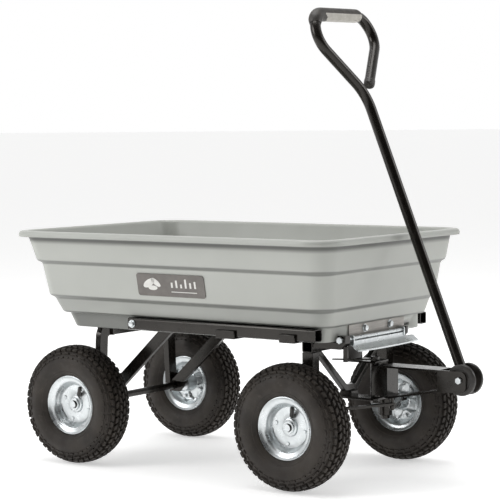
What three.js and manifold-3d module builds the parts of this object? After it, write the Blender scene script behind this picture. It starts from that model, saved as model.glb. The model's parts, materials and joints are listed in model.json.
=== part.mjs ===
// Four-wheel garden cart with a tipping moulded tub, a steered front axle and a bent-tube pull handle.
// Millimetres, +Z up, +X towards the pull handle, +Y to the cart's left.
import * as THREE from "three";
import { mergeVertices } from "three/addons/utils/BufferGeometryUtils.js";
import Module from "manifold-3d";

// ---- driving dimensions -------------------------------------------------------------------------
const ORIGIN_FROM_WHEELBASE_MIDDLE = 87; // the part's origin lies this far ahead of the wheelbase middle
const HALF_WHEELBASE = 286;
const REAR_WHEEL_Y = 204;
const FRONT_WHEEL_Y = 214.5;

const TYRE_RADIUS = 130; // 4.10/3.50-4 pneumatic tyre
const TYRE_HALF_WIDTH = 40;
const TYRE_FACETS = 26;
const TYRE_WALL = 7;
const RIM_SEAT_RADIUS = 52;
const RIM_FLANGE_RADIUS = 64;
const RIM_FLANGE_Y = 27;
const HUB_RADIUS = 18;
const HUB_INNER = 31; // hub end towards the cart, from the wheel's middle plane
const HUB_OUTER = 9; // hub end inside the dish of the rim
const HUB_BORE = 8.4;
const SPINDLE_RADIUS = 7.8;
const AXLE_Z = TYRE_RADIUS * Math.cos(Math.PI / TYRE_FACETS);

const TUB_WALL = 5;
const TUB_FLOOR_TOP = 335;
const LIP_TOP = 508;
const LIP_DROP = 13;
const LIP = { rear: -416, front: 419, half: 283, corner: 66 };
// Outer sections of the tub, from the underside up: three tiers parted by two narrow sloped ledges.
const TUB_SECTIONS = [
  { z: 328, rear: -340, front: 362, half: 206, corner: 36 },
  { z: 361, rear: -353, front: 369, half: 220, corner: 38 },
  { z: 367, rear: -362, front: 377, half: 229, corner: 40 },
  { z: 437, rear: -371, front: 385, half: 243, corner: 42 },
  { z: 443, rear: -380, front: 393, half: 251, corner: 43 },
  { z: 500, rear: -399, front: 401, half: 263, corner: 46 },
];
const SKIRT_SECTIONS = [
  { z: 298, rear: -312, front: 352, half: 192, corner: 30 },
  { z: 328.6, rear: -331, front: 352, half: 192, corner: 30 },
];
const SKIRT_WALL = 4;
const SKIRT_REAR_CUT_HALF = 152;

const GAP = 0.3; // between pieces that touch
const TUBE_SIZE = 25; // square frame tube
const TUBE_WALL = 2;
const TUB_RAIL = { rear: -131, front: 345, y: 205.1, z: 314.5 };
const FRAME_TUBE = { rear: -281, front: 334, y: 116 };
const STRAP_TOP = 301.7;
const STRAP_THICKNESS = 4;
const STRAP_HALF = 223;
const STRAP_CHEEK_TOP = 315;
const MID_STRAP = { rear: 104, front: 152 };
const FRONT_STRAP = { rear: 262, front: 300 };

const HINGE = { x: -296, z: 306, radius: 5 };
const TUB_HINGE_LUG_Y = 96;

const REAR_LEG = {
  thick: 14,
  width: 26,
  topY: 120,
  footY: 127,
  footZ: AXLE_Z + SPINDLE_RADIUS + 0.3,
  topZ: 296,
};
const DIAGONAL = { width: 25, thick: 12, y: 122, footX: -260.6, footZ: 143, topX: -90, topZ: 301.7 };

const KINGPIN_Y = 144;
const LEG_FOOT_Z = 165;
const CROSS_TOP = STRAP_TOP - STRAP_THICKNESS - GAP;
const CROSS_BOTTOM = CROSS_TOP - TUBE_SIZE;
const CENTRE_BLOCK_Z = 178;

const STEER_X = 350; // steering bolt
const STEER_ARM = 40; // tie-rod pin ahead of its pivot, on the tongue and on each knuckle alike
const UPPER_PLATE = { bottom: 241, top: 245 };
const LOWER_PLATE = { bottom: 163, top: 168 };
const TIE_ROD_THICKNESS = 5.6;
const LEFT_TIE_ROD_Z = 148;
const RIGHT_TIE_ROD_Z = 154;

const TONGUE = {
  rear: 380,
  front: 515,
  top: 238,
  rearBottom: 172,
  frontBottom: 193,
  halfInner: 21,
  plate: 4,
};
const PIVOT = { x: 561, z: 220 }; // handle pivot
const YOKE_RADIUS = 32;
const YOKE_INNER = 11.5;
const YOKE_OUTER = 20.4;

const HANDLE_LEAN = THREE.MathUtils.degToRad(21.9);
const HANDLE_RADIUS = 11;
const GRIP_RADIUS = 14.6;
// Corners of the bent handle: distance along the shaft from the pivot, sideways offset, bend radius.
const HANDLE_CORNERS = [
  { along: -12, side: 0, bend: 0 },
  { along: 617.6, side: 0, bend: 85 },
  { along: 737.6, side: -119, bend: 48 },
  { along: 792.6, side: -89, bend: 32 },
  { along: 796.6, side: 86, bend: 38 },
  { along: 745, side: 117, bend: 48 },
  { along: 640.6, side: 26, bend: 0 },
];
const GRIP_SPAN = { from: 0.683, to: 0.836 }; // share of the handle's length

const LATCH_PIN = { x: 366, z: 302, radius: 4 };
const LATCH_BRACKETS = {
  right: { side: -1, inner: 138, outer: 156, earFront: 377, earTop: 311, lockPinX: 369, lockPinY: 143 },
  left: { side: 1, inner: 86, outer: 94, earFront: 373, earTop: 309 },
};
const CLIP_Z = 263; // wire clip through the lock pin
const LEVER_HALF = 118;
const LEVER_LEFT_TAB = 78;
const STRIKER = { half: 108, bottom: 302, top: 327.4, thick: 3, boltY: 49, boltZ: 317 };

// ---- finishes -----------------------------------------------------------------------------------
const finish = (color, roughness, metalness) =>
  new THREE.MeshStandardMaterial({ color, roughness, metalness });
const tubPlastic = () => finish(0xb0b2ac, 0.5, 0);
const badgePlastic = () => finish(0x4a4541, 0.55, 0);
const blackPaint = () => finish(0x16130f, 0.25, 0.3);
const zinc = () => finish(0xc4c6c2, 0.3, 0.9);
const rubber = () => finish(0x37332f, 0.85, 0);
const blackPlastic = () => finish(0x1e1b19, 0.45, 0);
const gripRubber = () => finish(0x4a443e, 0.7, 0);

// ---- solids -------------------------------------------------------------------------------------
const wasm = await Module();
wasm.setup();

function toSolid(geometry) {
  const bare = geometry.index ? geometry.toNonIndexed() : geometry.clone();
  bare.deleteAttribute("normal");
  bare.deleteAttribute("uv");
  const merged = mergeVertices(bare, 1e-3);
  const vertProperties = merged.attributes.position.array;
  const triVerts = new Uint32Array(merged.index.array);
  return new wasm.Manifold(new wasm.Mesh({ numProp: 3, vertProperties, triVerts }));
}

function toGeometry(solid) {
  const mesh = solid.getMesh();
  return new THREE.BufferGeometry()
    .setAttribute("position", new THREE.BufferAttribute(new Float32Array(mesh.vertProperties), 3))
    .setIndex(new THREE.BufferAttribute(new Uint32Array(mesh.triVerts), 1));
}

function join(...geometries) {
  return toGeometry(geometries.map(toSolid).reduce((sum, next) => sum.add(next)));
}

function cut(body, ...tools) {
  return toGeometry(tools.map(toSolid).reduce((left, tool) => left.subtract(tool), toSolid(body)));
}

// ---- plain shapes -------------------------------------------------------------------------------
const vec = (x, y, z) => new THREE.Vector3(x, y, z);

function box(x0, x1, y0, y1, z0, z1) {
  const block = new THREE.BoxGeometry(x1 - x0, y1 - y0, z1 - z0);
  return block.translate((x0 + x1) / 2, (y0 + y1) / 2, (z0 + z1) / 2);
}

// The same box on either side of the middle plane: y runs outwards on that side.
function sideBox(side, x0, x1, y0, y1, z0, z1) {
  return side > 0 ? box(x0, x1, y0, y1, z0, z1) : box(x0, x1, -y1, -y0, z0, z1);
}

function rod(radius, from, to, sides = 16) {
  const along = to.clone().sub(from);
  const turn = new THREE.Quaternion().setFromUnitVectors(vec(0, 1, 0), along.clone().normalize());
  const middle = from.clone().add(to).multiplyScalar(0.5);
  return new THREE.CylinderGeometry(radius, radius, along.length(), sides)
    .applyQuaternion(turn)
    .translate(middle.x, middle.y, middle.z);
}

function outline(points) {
  return new THREE.Shape(points.map(([a, b]) => new THREE.Vector2(a, b)));
}

function extrude(shape, depth, curveSegments = 3) {
  return new THREE.ExtrudeGeometry(shape, { depth, curveSegments, bevelEnabled: false });
}

// A flat piece standing in an X-Z plane, from y0 to y1; its outline is given as x, z.
function standing(shape, y0, y1, curveSegments) {
  return extrude(shape, y1 - y0, curveSegments).rotateX(Math.PI / 2).translate(0, y1, 0);
}

// The same on either side of the middle plane: y runs outwards on that side.
function sideStanding(side, shape, y0, y1, curveSegments) {
  return side > 0 ? standing(shape, y0, y1, curveSegments) : standing(shape, -y1, -y0, curveSegments);
}

// A flat piece across the cart in a Y-Z plane, from x0 to x1; its outline is given as y, z.
function across(shape, x0, x1, curveSegments) {
  const turn = new THREE.Matrix4().makeBasis(vec(0, 1, 0), vec(0, 0, 1), vec(1, 0, 0));
  return extrude(shape, x1 - x0, curveSegments).applyMatrix4(turn).translate(x0, 0, 0);
}

function roundedRect(x0, x1, y0, y1, radius) {
  const half = Math.PI / 2;
  return new THREE.Shape()
    .moveTo(x0 + radius, y0)
    .lineTo(x1 - radius, y0)
    .absarc(x1 - radius, y0 + radius, radius, -half, 0)
    .lineTo(x1, y1 - radius)
    .absarc(x1 - radius, y1 - radius, radius, 0, half)
    .lineTo(x0 + radius, y1)
    .absarc(x0 + radius, y1 - radius, radius, half, 2 * half)
    .lineTo(x0, y0 + radius)
    .absarc(x0 + radius, y0 + radius, radius, 2 * half, 3 * half);
}

// A skin through rounded rectangles: one unit section swept up, then each layer set to its own size.
function loft(sections, cornerSegments = 3) {
  const layers = sections.length - 1;
  const unit = roundedRect(-2, 2, -2, 2, 1);
  const geometry = new THREE.ExtrudeGeometry(unit, {
    depth: layers,
    steps: layers,
    curveSegments: cornerSegments,
    bevelEnabled: false,
  });
  const position = geometry.attributes.position;
  for (let i = 0; i < position.count; i++) {
    const { z, rear, front, half, corner } = sections[Math.round(position.getZ(i))];
    const spread = (value, reach) =>
      Math.sign(value) * (reach - corner) + (value - Math.sign(value)) * corner;
    const halfLength = (front - rear) / 2;
    position.setXYZ(
      i,
      (front + rear) / 2 + spread(position.getX(i), halfLength),
      spread(position.getY(i), half),
      z,
    );
  }
  return geometry;
}

function inset(section, by) {
  return {
    z: section.z,
    rear: section.rear + by,
    front: section.front - by,
    half: section.half - by,
    corner: section.corner - by,
  };
}

// Section at height z on the straight line through two given sections.
function sectionAt(z, low, high) {
  const share = (z - low.z) / (high.z - low.z);
  const mix = (key) => low[key] + share * (high[key] - low[key]);
  return { z, rear: mix("rear"), front: mix("front"), half: mix("half"), corner: mix("corner") };
}

// A square frame tube along X or Y, open at both ends.
function squareTube(axis, from, to, a, b) {
  const h = TUBE_SIZE / 2;
  const section = roundedRect(a - h, a + h, b - h, b + h, 3.5);
  const w = h - TUBE_WALL;
  section.holes.push(roundedRect(a - w, a + w, b - w, b + w, 1.5));
  return axis === "x" ? across(section, from, to, 1) : standing(section, from, to, 1);
}

function hexBolt(radius, height, from, direction, shank, shankRadius) {
  const head = rod(radius, from, from.clone().addScaledVector(direction, height), 6);
  const washer = rod(radius * 1.25, from, from.clone().addScaledVector(direction, 1.2), 16);
  const shankEnd = from.clone().addScaledVector(direction, -shank);
  const stem = rod(shankRadius, shankEnd, from.clone().addScaledVector(direction, 1), 12);
  return join(head, washer, stem);
}

// ---- path of a bent tube ------------------------------------------------------------------------
// Straight runs have stations only at their ends; each bend has one every ten degrees or so.
class StationPath extends THREE.Curve {
  constructor(stations) {
    super();
    this.stations = stations;
  }
  index(t) {
    return Math.round(t * (this.stations.length - 1));
  }
  getPoint(t, target = vec(0, 0, 0)) {
    return target.copy(this.stations[this.index(t)]);
  }
  getPointAt(t, target) {
    return this.getPoint(t, target);
  }
  getTangentAt(t, target = vec(0, 0, 0)) {
    const k = this.index(t);
    const here = this.stations[k];
    const before = this.stations[k - 1];
    const after = this.stations[k + 1];
    target.set(0, 0, 0);
    if (before) target.add(here.clone().sub(before).normalize());
    if (after) target.add(after.clone().sub(here).normalize());
    return target.normalize();
  }
  getTangent(t, target) {
    return this.getTangentAt(t, target);
  }
}

function bentStations(corners) {
  const stations = [corners[0].point];
  for (let i = 1; i < corners.length - 1; i++) {
    const { point, bend } = corners[i];
    const inward = point.clone().sub(corners[i - 1].point).normalize();
    const outward = corners[i + 1].point.clone().sub(point).normalize();
    const angle = inward.angleTo(outward);
    const setback = bend * Math.tan(angle / 2);
    const start = point.clone().addScaledVector(inward, -setback);
    const toCentre = outward.clone().sub(inward).normalize();
    const centre = point.clone().addScaledVector(toCentre, bend / Math.cos(angle / 2));
    const normal = inward.clone().cross(outward).normalize();
    const pieces = Math.max(2, Math.round(angle / THREE.MathUtils.degToRad(12)));
    for (let k = 0; k <= pieces; k++) {
      const arm = start.clone().sub(centre).applyAxisAngle(normal, (angle * k) / pieces);
      stations.push(centre.clone().add(arm));
    }
  }
  stations.push(corners[corners.length - 1].point);
  return stations;
}

function sweep(shape, stations, curveSegments) {
  return new THREE.ExtrudeGeometry(shape, {
    steps: stations.length - 1,
    extrudePath: new StationPath(stations),
    curveSegments,
    bevelEnabled: false,
  });
}

function disc(radius) {
  return new THREE.Shape().absarc(0, 0, radius, 0, 2 * Math.PI);
}

// ---- the assembly -------------------------------------------------------------------------------
const cart = new THREE.Group();
const model = new THREE.Group();
model.position.x = -ORIGIN_FROM_WHEELBASE_MIDDLE;
cart.add(model);

function add(name, geometry, material, parent = model) {
  const mesh = new THREE.Mesh(geometry, material);
  mesh.name = name;
  parent.add(mesh);
  return mesh;
}

const SIDES = [
  { side: 1, label: "left" },
  { side: -1, label: "right" },
];

// ---- tub ----------------------------------------------------------------------------------------
function tub() {
  const [foot, , , , , brim] = TUB_SECTIONS;
  const shell = loft(TUB_SECTIONS);
  const lipBand = loft([
    { z: LIP_TOP - LIP_DROP, ...LIP },
    { z: LIP_TOP - 2, ...LIP },
    { ...inset({ z: LIP_TOP, ...LIP }, 2) },
  ]);
  const lipHollow = loft([
    inset({ z: LIP_TOP - LIP_DROP - 1, ...LIP }, TUB_WALL),
    inset({ z: LIP_TOP - TUB_WALL, ...LIP }, TUB_WALL),
  ]);
  const lip = cut(lipBand, lipHollow);
  const floorSection = sectionAt(TUB_FLOOR_TOP, foot, TUB_SECTIONS[1]);
  const hollow = loft([
    inset(floorSection, TUB_WALL),
    ...TUB_SECTIONS.slice(1).map((section) => inset(section, TUB_WALL)),
    inset({ ...brim, z: LIP_TOP + 1 }, TUB_WALL),
  ]);
  // Notches that let the frame's straps pass under the rails.
  const strapWays = [MID_STRAP, FRONT_STRAP].map(({ rear, front }) =>
    box(rear - 3, front + 3, -200, 200, 290, STRAP_TOP + 2),
  );
  const upperWall = loft([brim, { ...brim, z: LIP_TOP - 1 }]);
  const skirtHollow = loft(
    SKIRT_SECTIONS.map((section, i) => inset({ ...section, z: section.z + (i ? 0 : -1) }, SKIRT_WALL)),
  );
  const rearWay = box(-360, -300, -SKIRT_REAR_CUT_HALF, SKIRT_REAR_CUT_HALF, 290, 327.9);
  const skirt = cut(loft(SKIRT_SECTIONS), skirtHollow, rearWay, ...strapWays);
  const boltWays = [-1, 1].map((side) => {
    const y = side * STRIKER.boltY;
    return rod(4.5, vec(330, y, STRIKER.boltZ), vec(360, y, STRIKER.boltZ), 12);
  });
  return cut(join(shell, upperWall, lip, skirt), hollow, ...boltWays);
}
add("tub", tub(), tubPlastic());

function badgePlate() {
  // Lies on the sloping right wall of the middle tier.
  const low = TUB_SECTIONS[2];
  const high = TUB_SECTIONS[3];
  const slope = Math.atan2(high.half - low.half, high.z - low.z);
  const shape = roundedRect(-88, 88, -24, 24, 4);
  const middle = sectionAt(401.5, low, high);
  return extrude(shape, 1.6, 3)
    .rotateX(Math.PI / 2 + slope)
    .translate(1, -(middle.half + GAP), middle.z);
}
add("badge_plate", badgePlate(), badgePlastic());

function tubRail(side) {
  const { rear, front, y, z } = TUB_RAIL;
  const way = rod(4.6, vec(rear + 12, side * (y + 6), z), vec(rear + 12, side * (y + 20), z), 12);
  return cut(squareTube("x", rear, front, side * y, z), way);
}

function tubHingeLug(side) {
  const { x, z } = HINGE;
  const shape = outline([
    [x - 22, 327.6],
    [x - 9, z],
    [x - 6.5, z - 6.5],
    [x, z - 9.3],
    [x + 6.5, z - 6.5],
    [x + 9, z],
    [x + 22, 327.6],
  ]);
  const way = rod(HINGE.radius + 0.5, vec(x, -120, z), vec(x, 120, z));
  return cut(sideStanding(side, shape, TUB_HINGE_LUG_Y, TUB_HINGE_LUG_Y + 6), way);
}

for (const { side, label } of SIDES) {
  add(`tub_rail_${label}`, tubRail(side), blackPaint());
  const head = vec(TUB_RAIL.rear + 12, side * (TUB_RAIL.y + TUBE_SIZE / 2 + GAP), TUB_RAIL.z);
  add(`rail_bolt_${label}`, hexBolt(6.5, 5, head, vec(0, side, 0), 5, 4), zinc());
  add(`tub_hinge_lug_${label}`, tubHingeLug(side), blackPaint());
}

function strikerPlate() {
  const x = SKIRT_SECTIONS[0].front + GAP;
  const { half, bottom, top, thick, boltY, boltZ } = STRIKER;
  const plate = box(x, x + thick, -half, half, bottom, top);
  const tab = box(x, x + thick, -38, 38, 290, bottom + 2);
  const catchEdge = box(x, x + 5.7, -38, 38, 290, 292.5);
  const ways = [-1, 1].map((side) =>
    rod(4.5, vec(x - 4, side * boltY, boltZ), vec(x + 8, side * boltY, boltZ), 12),
  );
  return cut(join(plate, tab, catchEdge), ...ways);
}
add("striker_plate", strikerPlate(), zinc());
for (const { side, label } of SIDES) {
  const faceX = SKIRT_SECTIONS[0].front + STRIKER.thick + 2 * GAP;
  const head = vec(faceX, side * STRIKER.boltY, STRIKER.boltZ);
  add(`striker_bolt_${label}`, hexBolt(6.5, 6, head, vec(1, 0, 0), 11, 4), zinc());
}

// ---- fixed frame --------------------------------------------------------------------------------
function strap({ rear, front }) {
  const bottom = STRAP_TOP - STRAP_THICKNESS;
  const flat = box(rear, front, -STRAP_HALF, STRAP_HALF, bottom, STRAP_TOP);
  const cheeks = [1, -1].map((side) =>
    sideBox(side, rear, front, STRAP_HALF - 4, STRAP_HALF, bottom, STRAP_CHEEK_TOP),
  );
  return join(flat, ...cheeks);
}
add("mid_strap", strap(MID_STRAP), blackPaint());
add("front_strap", strap(FRONT_STRAP), blackPaint());

function rearLeg() {
  // Inverted U, feet a little further apart than its shoulders.
  const { thick, width, topY, footY, footZ, topZ } = REAR_LEG;
  const w = width / 2;
  const bendR = 34;
  const outer = new THREE.Shape()
    .moveTo(footY + w, footZ)
    .lineTo(topY + w, topZ - bendR)
    .quadraticCurveTo(topY + w, topZ, topY + w - bendR, topZ)
    .lineTo(-(topY + w - bendR), topZ)
    .quadraticCurveTo(-(topY + w), topZ, -(topY + w), topZ - bendR)
    .lineTo(-(footY + w), footZ)
    .lineTo(-(footY - w), footZ)
    .lineTo(-(topY - w), topZ - width - 8)
    .quadraticCurveTo(-(topY - w), topZ - width, -(topY - w - 8), topZ - width)
    .lineTo(topY - w - 8, topZ - width)
    .quadraticCurveTo(topY - w, topZ - width, topY - w, topZ - width - 8)
    .lineTo(footY - w, footZ);
  const x = -HALF_WHEELBASE;
  const hoop = across(outer, x - thick / 2, x + thick / 2, 5);
  const clevises = [1, -1].map((side) => {
    const shape = outline([
      [x - 20, topZ - 26],
      [x + 12, topZ - 26],
      [x + 12, topZ + 4],
      [HINGE.x + 9, HINGE.z + 9],
      [HINGE.x - 9, HINGE.z + 9],
      [x - 20, HINGE.z],
    ]);
    return sideStanding(side, shape, TUB_HINGE_LUG_Y - 6.5, TUB_HINGE_LUG_Y - GAP);
  });
  // Pads that carry the frame tubes, outside the ends of the hinge pin.
  const pads = [1, -1].map((side) =>
    sideBox(side, x - thick / 2, x + thick / 2, 111, 126, topZ - 22, STRAP_TOP),
  );
  const way = rod(HINGE.radius + 0.5, vec(HINGE.x, -100, HINGE.z), vec(HINGE.x, 100, HINGE.z));
  return cut(join(hoop, ...clevises, ...pads), way);
}
add("rear_leg", rearLeg(), blackPaint());

function hingePin() {
  const { x, z, radius } = HINGE;
  const end = TUB_HINGE_LUG_Y + 10;
  const stem = rod(radius, vec(x, -end, z), vec(x, end, z));
  const heads = [1, -1].map((side) => rod(8, vec(x, side * end, z), vec(x, side * (end + 4), z), 6));
  return join(stem, ...heads);
}
add("hinge_pin", hingePin(), zinc());

function rearDiagonal(side) {
  const { width, thick, y, footX, footZ, topX, topZ } = DIAGONAL;
  const run = Math.hypot(topX - footX, topZ - footZ);
  const offX = (-(topZ - footZ) / run) * (width / 2);
  const offZ = ((topX - footX) / run) * (width / 2);
  // Both ends are cut level.
  const levelShift = ((topX - footX) / (topZ - footZ)) * offZ - offX;
  const shape = outline([
    [footX + levelShift, footZ],
    [topX + levelShift, topZ],
    [topX - levelShift, topZ],
    [footX - levelShift, footZ],
  ]);
  return sideStanding(side, shape, y - thick / 2, y + thick / 2);
}

function axleBracket(side) {
  // Plate outside the leg's foot that carries the axle and the foot of the diagonal.
  const x = -HALF_WHEELBASE;
  const shape = outline([
    [x - 15, AXLE_Z - 14],
    [x + 15, AXLE_Z - 14],
    [x + 36, AXLE_Z + 10],
    [x + 36, AXLE_Z + 30],
    [x - 15, AXLE_Z + 30],
  ]);
  const way = rod(SPINDLE_RADIUS + 0.5, vec(x, -160, AXLE_Z), vec(x, 160, AXLE_Z));
  return cut(sideStanding(side, shape, 140.3, 145.5), way);
}

function rearAxle() {
  const x = -HALF_WHEELBASE;
  const end = REAR_WHEEL_Y + HUB_OUTER + 8;
  return rod(SPINDLE_RADIUS, vec(x, -end, AXLE_Z), vec(x, end, AXLE_Z), 20);
}
add("rear_axle", rearAxle(), blackPaint());

for (const { side, label } of SIDES) {
  const { rear, front, y } = FRAME_TUBE;
  const z = STRAP_TOP + GAP + TUBE_SIZE / 2;
  add(`frame_tube_${label}`, squareTube("x", rear, front, side * y, z), blackPaint());
  add(`rear_diagonal_${label}`, rearDiagonal(side), blackPaint());
  add(`axle_bracket_${label}`, axleBracket(side), blackPaint());
}

// ---- front frame --------------------------------------------------------------------------------
function frontCrossMember() {
  const z = (CROSS_TOP + CROSS_BOTTOM) / 2;
  return squareTube("y", -KINGPIN_Y - 12.5, KINGPIN_Y + 12.5, HALF_WHEELBASE, z);
}
add("front_cross_member", frontCrossMember(), blackPaint());

function frontLeg(side) {
  const y = side * KINGPIN_Y;
  const h = TUBE_SIZE / 2;
  const x = HALF_WHEELBASE;
  const post = box(x - h, x + h, y - h, y + h, LEG_FOOT_Z, CROSS_BOTTOM - GAP);
  const kingpin = rod(6, vec(x, y, AXLE_Z - 24), vec(x, y, LEG_FOOT_Z + 1));
  const nut = rod(10, vec(x, y, AXLE_Z - 30), vec(x, y, AXLE_Z - 22.4), 6);
  return join(post, kingpin, nut);
}

function braceV() {
  // Flat bar bent into a wide V under the cross member.
  const topY = KINGPIN_Y - TUBE_SIZE / 2 - 2;
  const topZ = CROSS_BOTTOM - GAP;
  const low = CENTRE_BLOCK_Z;
  const lift = 13;
  const shape = outline([
    [-topY, topZ],
    [-22, low],
    [22, low],
    [topY, topZ],
    [topY - 17, topZ],
    [16, low + lift],
    [-16, low + lift],
    [-topY + 17, topZ],
  ]);
  return across(shape, HALF_WHEELBASE - 6, HALF_WHEELBASE + 6);
}
add("brace_v", braceV(), blackPaint());

function lowerPlate() {
  // Flat plate from the foot of the V to the steering bolt, with the spacer block it hangs from.
  const way = rod(6.5, vec(STEER_X, 0, 150), vec(STEER_X, 0, 180));
  const { bottom, top } = LOWER_PLATE;
  const shape = roundedRect(HALF_WHEELBASE - 18, STEER_X + 15, -24, 24, 10);
  const plate = extrude(shape, top - bottom).translate(0, 0, bottom);
  const x = HALF_WHEELBASE;
  return cut(join(plate, box(x - 14, x + 14, -14, 14, top - 1, CENTRE_BLOCK_Z - GAP)), way);
}
add("lower_steering_plate", lowerPlate(), blackPaint());

function upperBracket() {
  // Angle bracket on the front of the cross member; its flat flange takes the top of the steering bolt.
  const { bottom, top } = UPPER_PLATE;
  const back = HALF_WHEELBASE + TUBE_SIZE / 2 + GAP;
  const way = rod(6.5, vec(STEER_X, 0, 240), vec(STEER_X, 0, 270));
  return cut(join(box(back, 366, -26, 26, bottom, top), box(back, back + 4, -26, 26, bottom, 290)), way);
}
add("upper_steering_bracket", upperBracket(), blackPaint());

function latchBracket({ inner, outer, side, earFront, earTop }) {
  // Runs forward from the cross member under the tub, then rises to hold the latch pin.
  const shape = outline([
    [HALF_WHEELBASE + 14, 283],
    [earFront - 12, 283],
    [earFront, 295],
    [earFront, earTop],
    [LATCH_PIN.x - 8, earTop],
    [LATCH_PIN.x - 8, 296.5],
    [303, 296.5],
    [303, 291],
    [HALF_WHEELBASE + 14, 291],
  ]);
  const { x, z, radius } = LATCH_PIN;
  const way = rod(radius + 0.4, vec(x, -170, z), vec(x, 170, z), 12);
  return cut(sideStanding(side, shape, inner, outer), way);
}
add("latch_bracket_left", latchBracket(LATCH_BRACKETS.left), blackPaint());
const { side: rightSide, lockPinX, lockPinY } = LATCH_BRACKETS.right;
const lockPinSide = rightSide * lockPinY;
const lockPin = rod(5, vec(lockPinX, lockPinSide, 257.5), vec(lockPinX, lockPinSide, 288), 12);
const clipFrom = vec(lockPinX - 20, lockPinSide - 10, CLIP_Z);
const clipWay = rod(2, clipFrom, vec(lockPinX + 20, lockPinSide + 10, CLIP_Z), 8);
add("latch_bracket_right", cut(join(latchBracket(LATCH_BRACKETS.right), lockPin), clipWay), blackPaint());

function pinClip() {
  // Thin straight wire through the lower end of the lock pin.
  const middle = vec(lockPinX, lockPinSide, CLIP_Z);
  const along = vec(2, 1, 0).normalize();
  return rod(1.6, middle.clone().addScaledVector(along, -27), middle.clone().addScaledVector(along, 60), 8);
}
add("lock_pin_clip", pinClip(), blackPaint());

function latchPin() {
  const { x, z, radius } = LATCH_PIN;
  const right = -LATCH_BRACKETS.right.outer - GAP;
  const left = LATCH_BRACKETS.left.outer + GAP;
  const stem = rod(radius, vec(x, right - 2, z), vec(x, left + 2, z), 12);
  const head = rod(7, vec(x, right, z), vec(x, right - 6, z), 6);
  const nut = rod(6, vec(x, left, z), vec(x, left + 5, z), 6);
  return join(stem, head, nut);
}
add("latch_pin", latchPin(), zinc());

function steeringBolt() {
  const stem = rod(6, vec(STEER_X, 0, LOWER_PLATE.bottom - 2), vec(STEER_X, 0, UPPER_PLATE.top + 2), 16);
  const top = rod(10, vec(STEER_X, 0, UPPER_PLATE.top + GAP), vec(STEER_X, 0, UPPER_PLATE.top + 8), 6);
  const nut = rod(10, vec(STEER_X, 0, LOWER_PLATE.bottom - 7), vec(STEER_X, 0, LOWER_PLATE.bottom - GAP), 6);
  return join(stem, top, nut);
}
add("steering_bolt", steeringBolt(), blackPaint());

for (const { side, label } of SIDES) {
  add(`front_leg_${label}`, frontLeg(side), blackPaint());
}

// ---- tip release lever --------------------------------------------------------------------------
function dumpLever() {
  const { x, z, radius } = LATCH_PIN;
  const front = outline([
    [x + 1, 287],
    [x + 4, 286],
    [x + 10, 281],
    [x + 26, 276],
    [x + 26, 279],
    [x + 12, 284],
    [x + 5, 289],
    [x + 5, 297],
    [x + 1, 297],
  ]);
  const face = standing(front, -LEVER_HALF, LEVER_HALF);
  const hook = box(x - 6.4, x + 3, -37, 37, z - 7, z - 5);
  const tab = roundedRect(x - 7, x + 7, 288, z + 7, 5);
  const tabs = [-LEVER_HALF, LEVER_LEFT_TAB].map((y0) => standing(tab, y0, y0 + 4, 2));
  const earWay = box(x - 2, x + 8, LEVER_LEFT_TAB + 6, LEVER_HALF + 2, 288, z);
  const way = rod(radius + 0.5, vec(x, -130, z), vec(x, 130, z), 12);
  return cut(join(cut(face, earWay), hook, ...tabs), way);
}
add("dump_lever", dumpLever(), zinc());

// ---- steering -----------------------------------------------------------------------------------
function tongue() {
  // Two plates, open at the sides, joined by a front wall that carries the two handle cheeks.
  const { rear, front, top, rearBottom, frontBottom, halfInner, plate } = TONGUE;
  const half = halfInner + plate;
  const cheek = new THREE.Shape()
    .moveTo(front - plate, frontBottom)
    .lineTo(front, frontBottom)
    .lineTo(PIVOT.x + 2, frontBottom + 2)
    .absarc(PIVOT.x + 2, frontBottom + 15, 13, -Math.PI / 2, 0)
    .absarc(PIVOT.x + 2, top - 13, 13, 0, Math.PI / 2)
    .lineTo(front - plate, top);
  const cheeks = [1, -1].map((side) => sideStanding(side, cheek, halfInner, half, 4));
  const roof = box(rear, front - 1, -half, half, top - plate, top);
  const wall = box(front - plate, front, -half + 1, half - 1, frontBottom, top);
  const floorSide = outline([
    [rear + 6, rearBottom],
    [402, rearBottom],
    [front - 1, frontBottom],
    [front - 1, frontBottom + 4],
    [402, rearBottom + plate],
    [rear + 6, rearBottom + plate],
  ]);
  const floor = standing(floorSide, -half, half);
  const sleeveTop = vec(STEER_X, 0, UPPER_PLATE.bottom - GAP);
  const sleeve = rod(10, vec(STEER_X, 0, LOWER_PLATE.top + GAP), sleeveTop, 16);
  const block = box(STEER_X + 6, rear + 12, -halfInner - 1, halfInner + 1, 175, 236);
  const pinX = STEER_X + STEER_ARM;
  const pin = rod(4, vec(pinX, 0, LEFT_TIE_ROD_Z - 4), vec(pinX, 0, rearBottom + 2), 12);
  const boltWay = rod(6.5, vec(STEER_X, 0, 150), vec(STEER_X, 0, 260));
  const pivotWay = rod(4.6, vec(PIVOT.x, -40, PIVOT.z), vec(PIVOT.x, 40, PIVOT.z));
  return cut(join(...cheeks, roof, wall, floor, sleeve, block, pin), boltWay, pivotWay);
}
add("tongue", tongue(), blackPaint());

function handleBolt() {
  const reach = TONGUE.halfInner + TONGUE.plate + GAP;
  const stem = rod(4, vec(PIVOT.x, -reach - 2, PIVOT.z), vec(PIVOT.x, reach + 2, PIVOT.z));
  const heads = [1, -1].map((side) =>
    rod(6.8, vec(PIVOT.x, side * reach, PIVOT.z), vec(PIVOT.x, side * (reach + 5), PIVOT.z), 6),
  );
  return join(stem, ...heads);
}
add("handle_bolt", handleBolt(), zinc());

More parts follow.
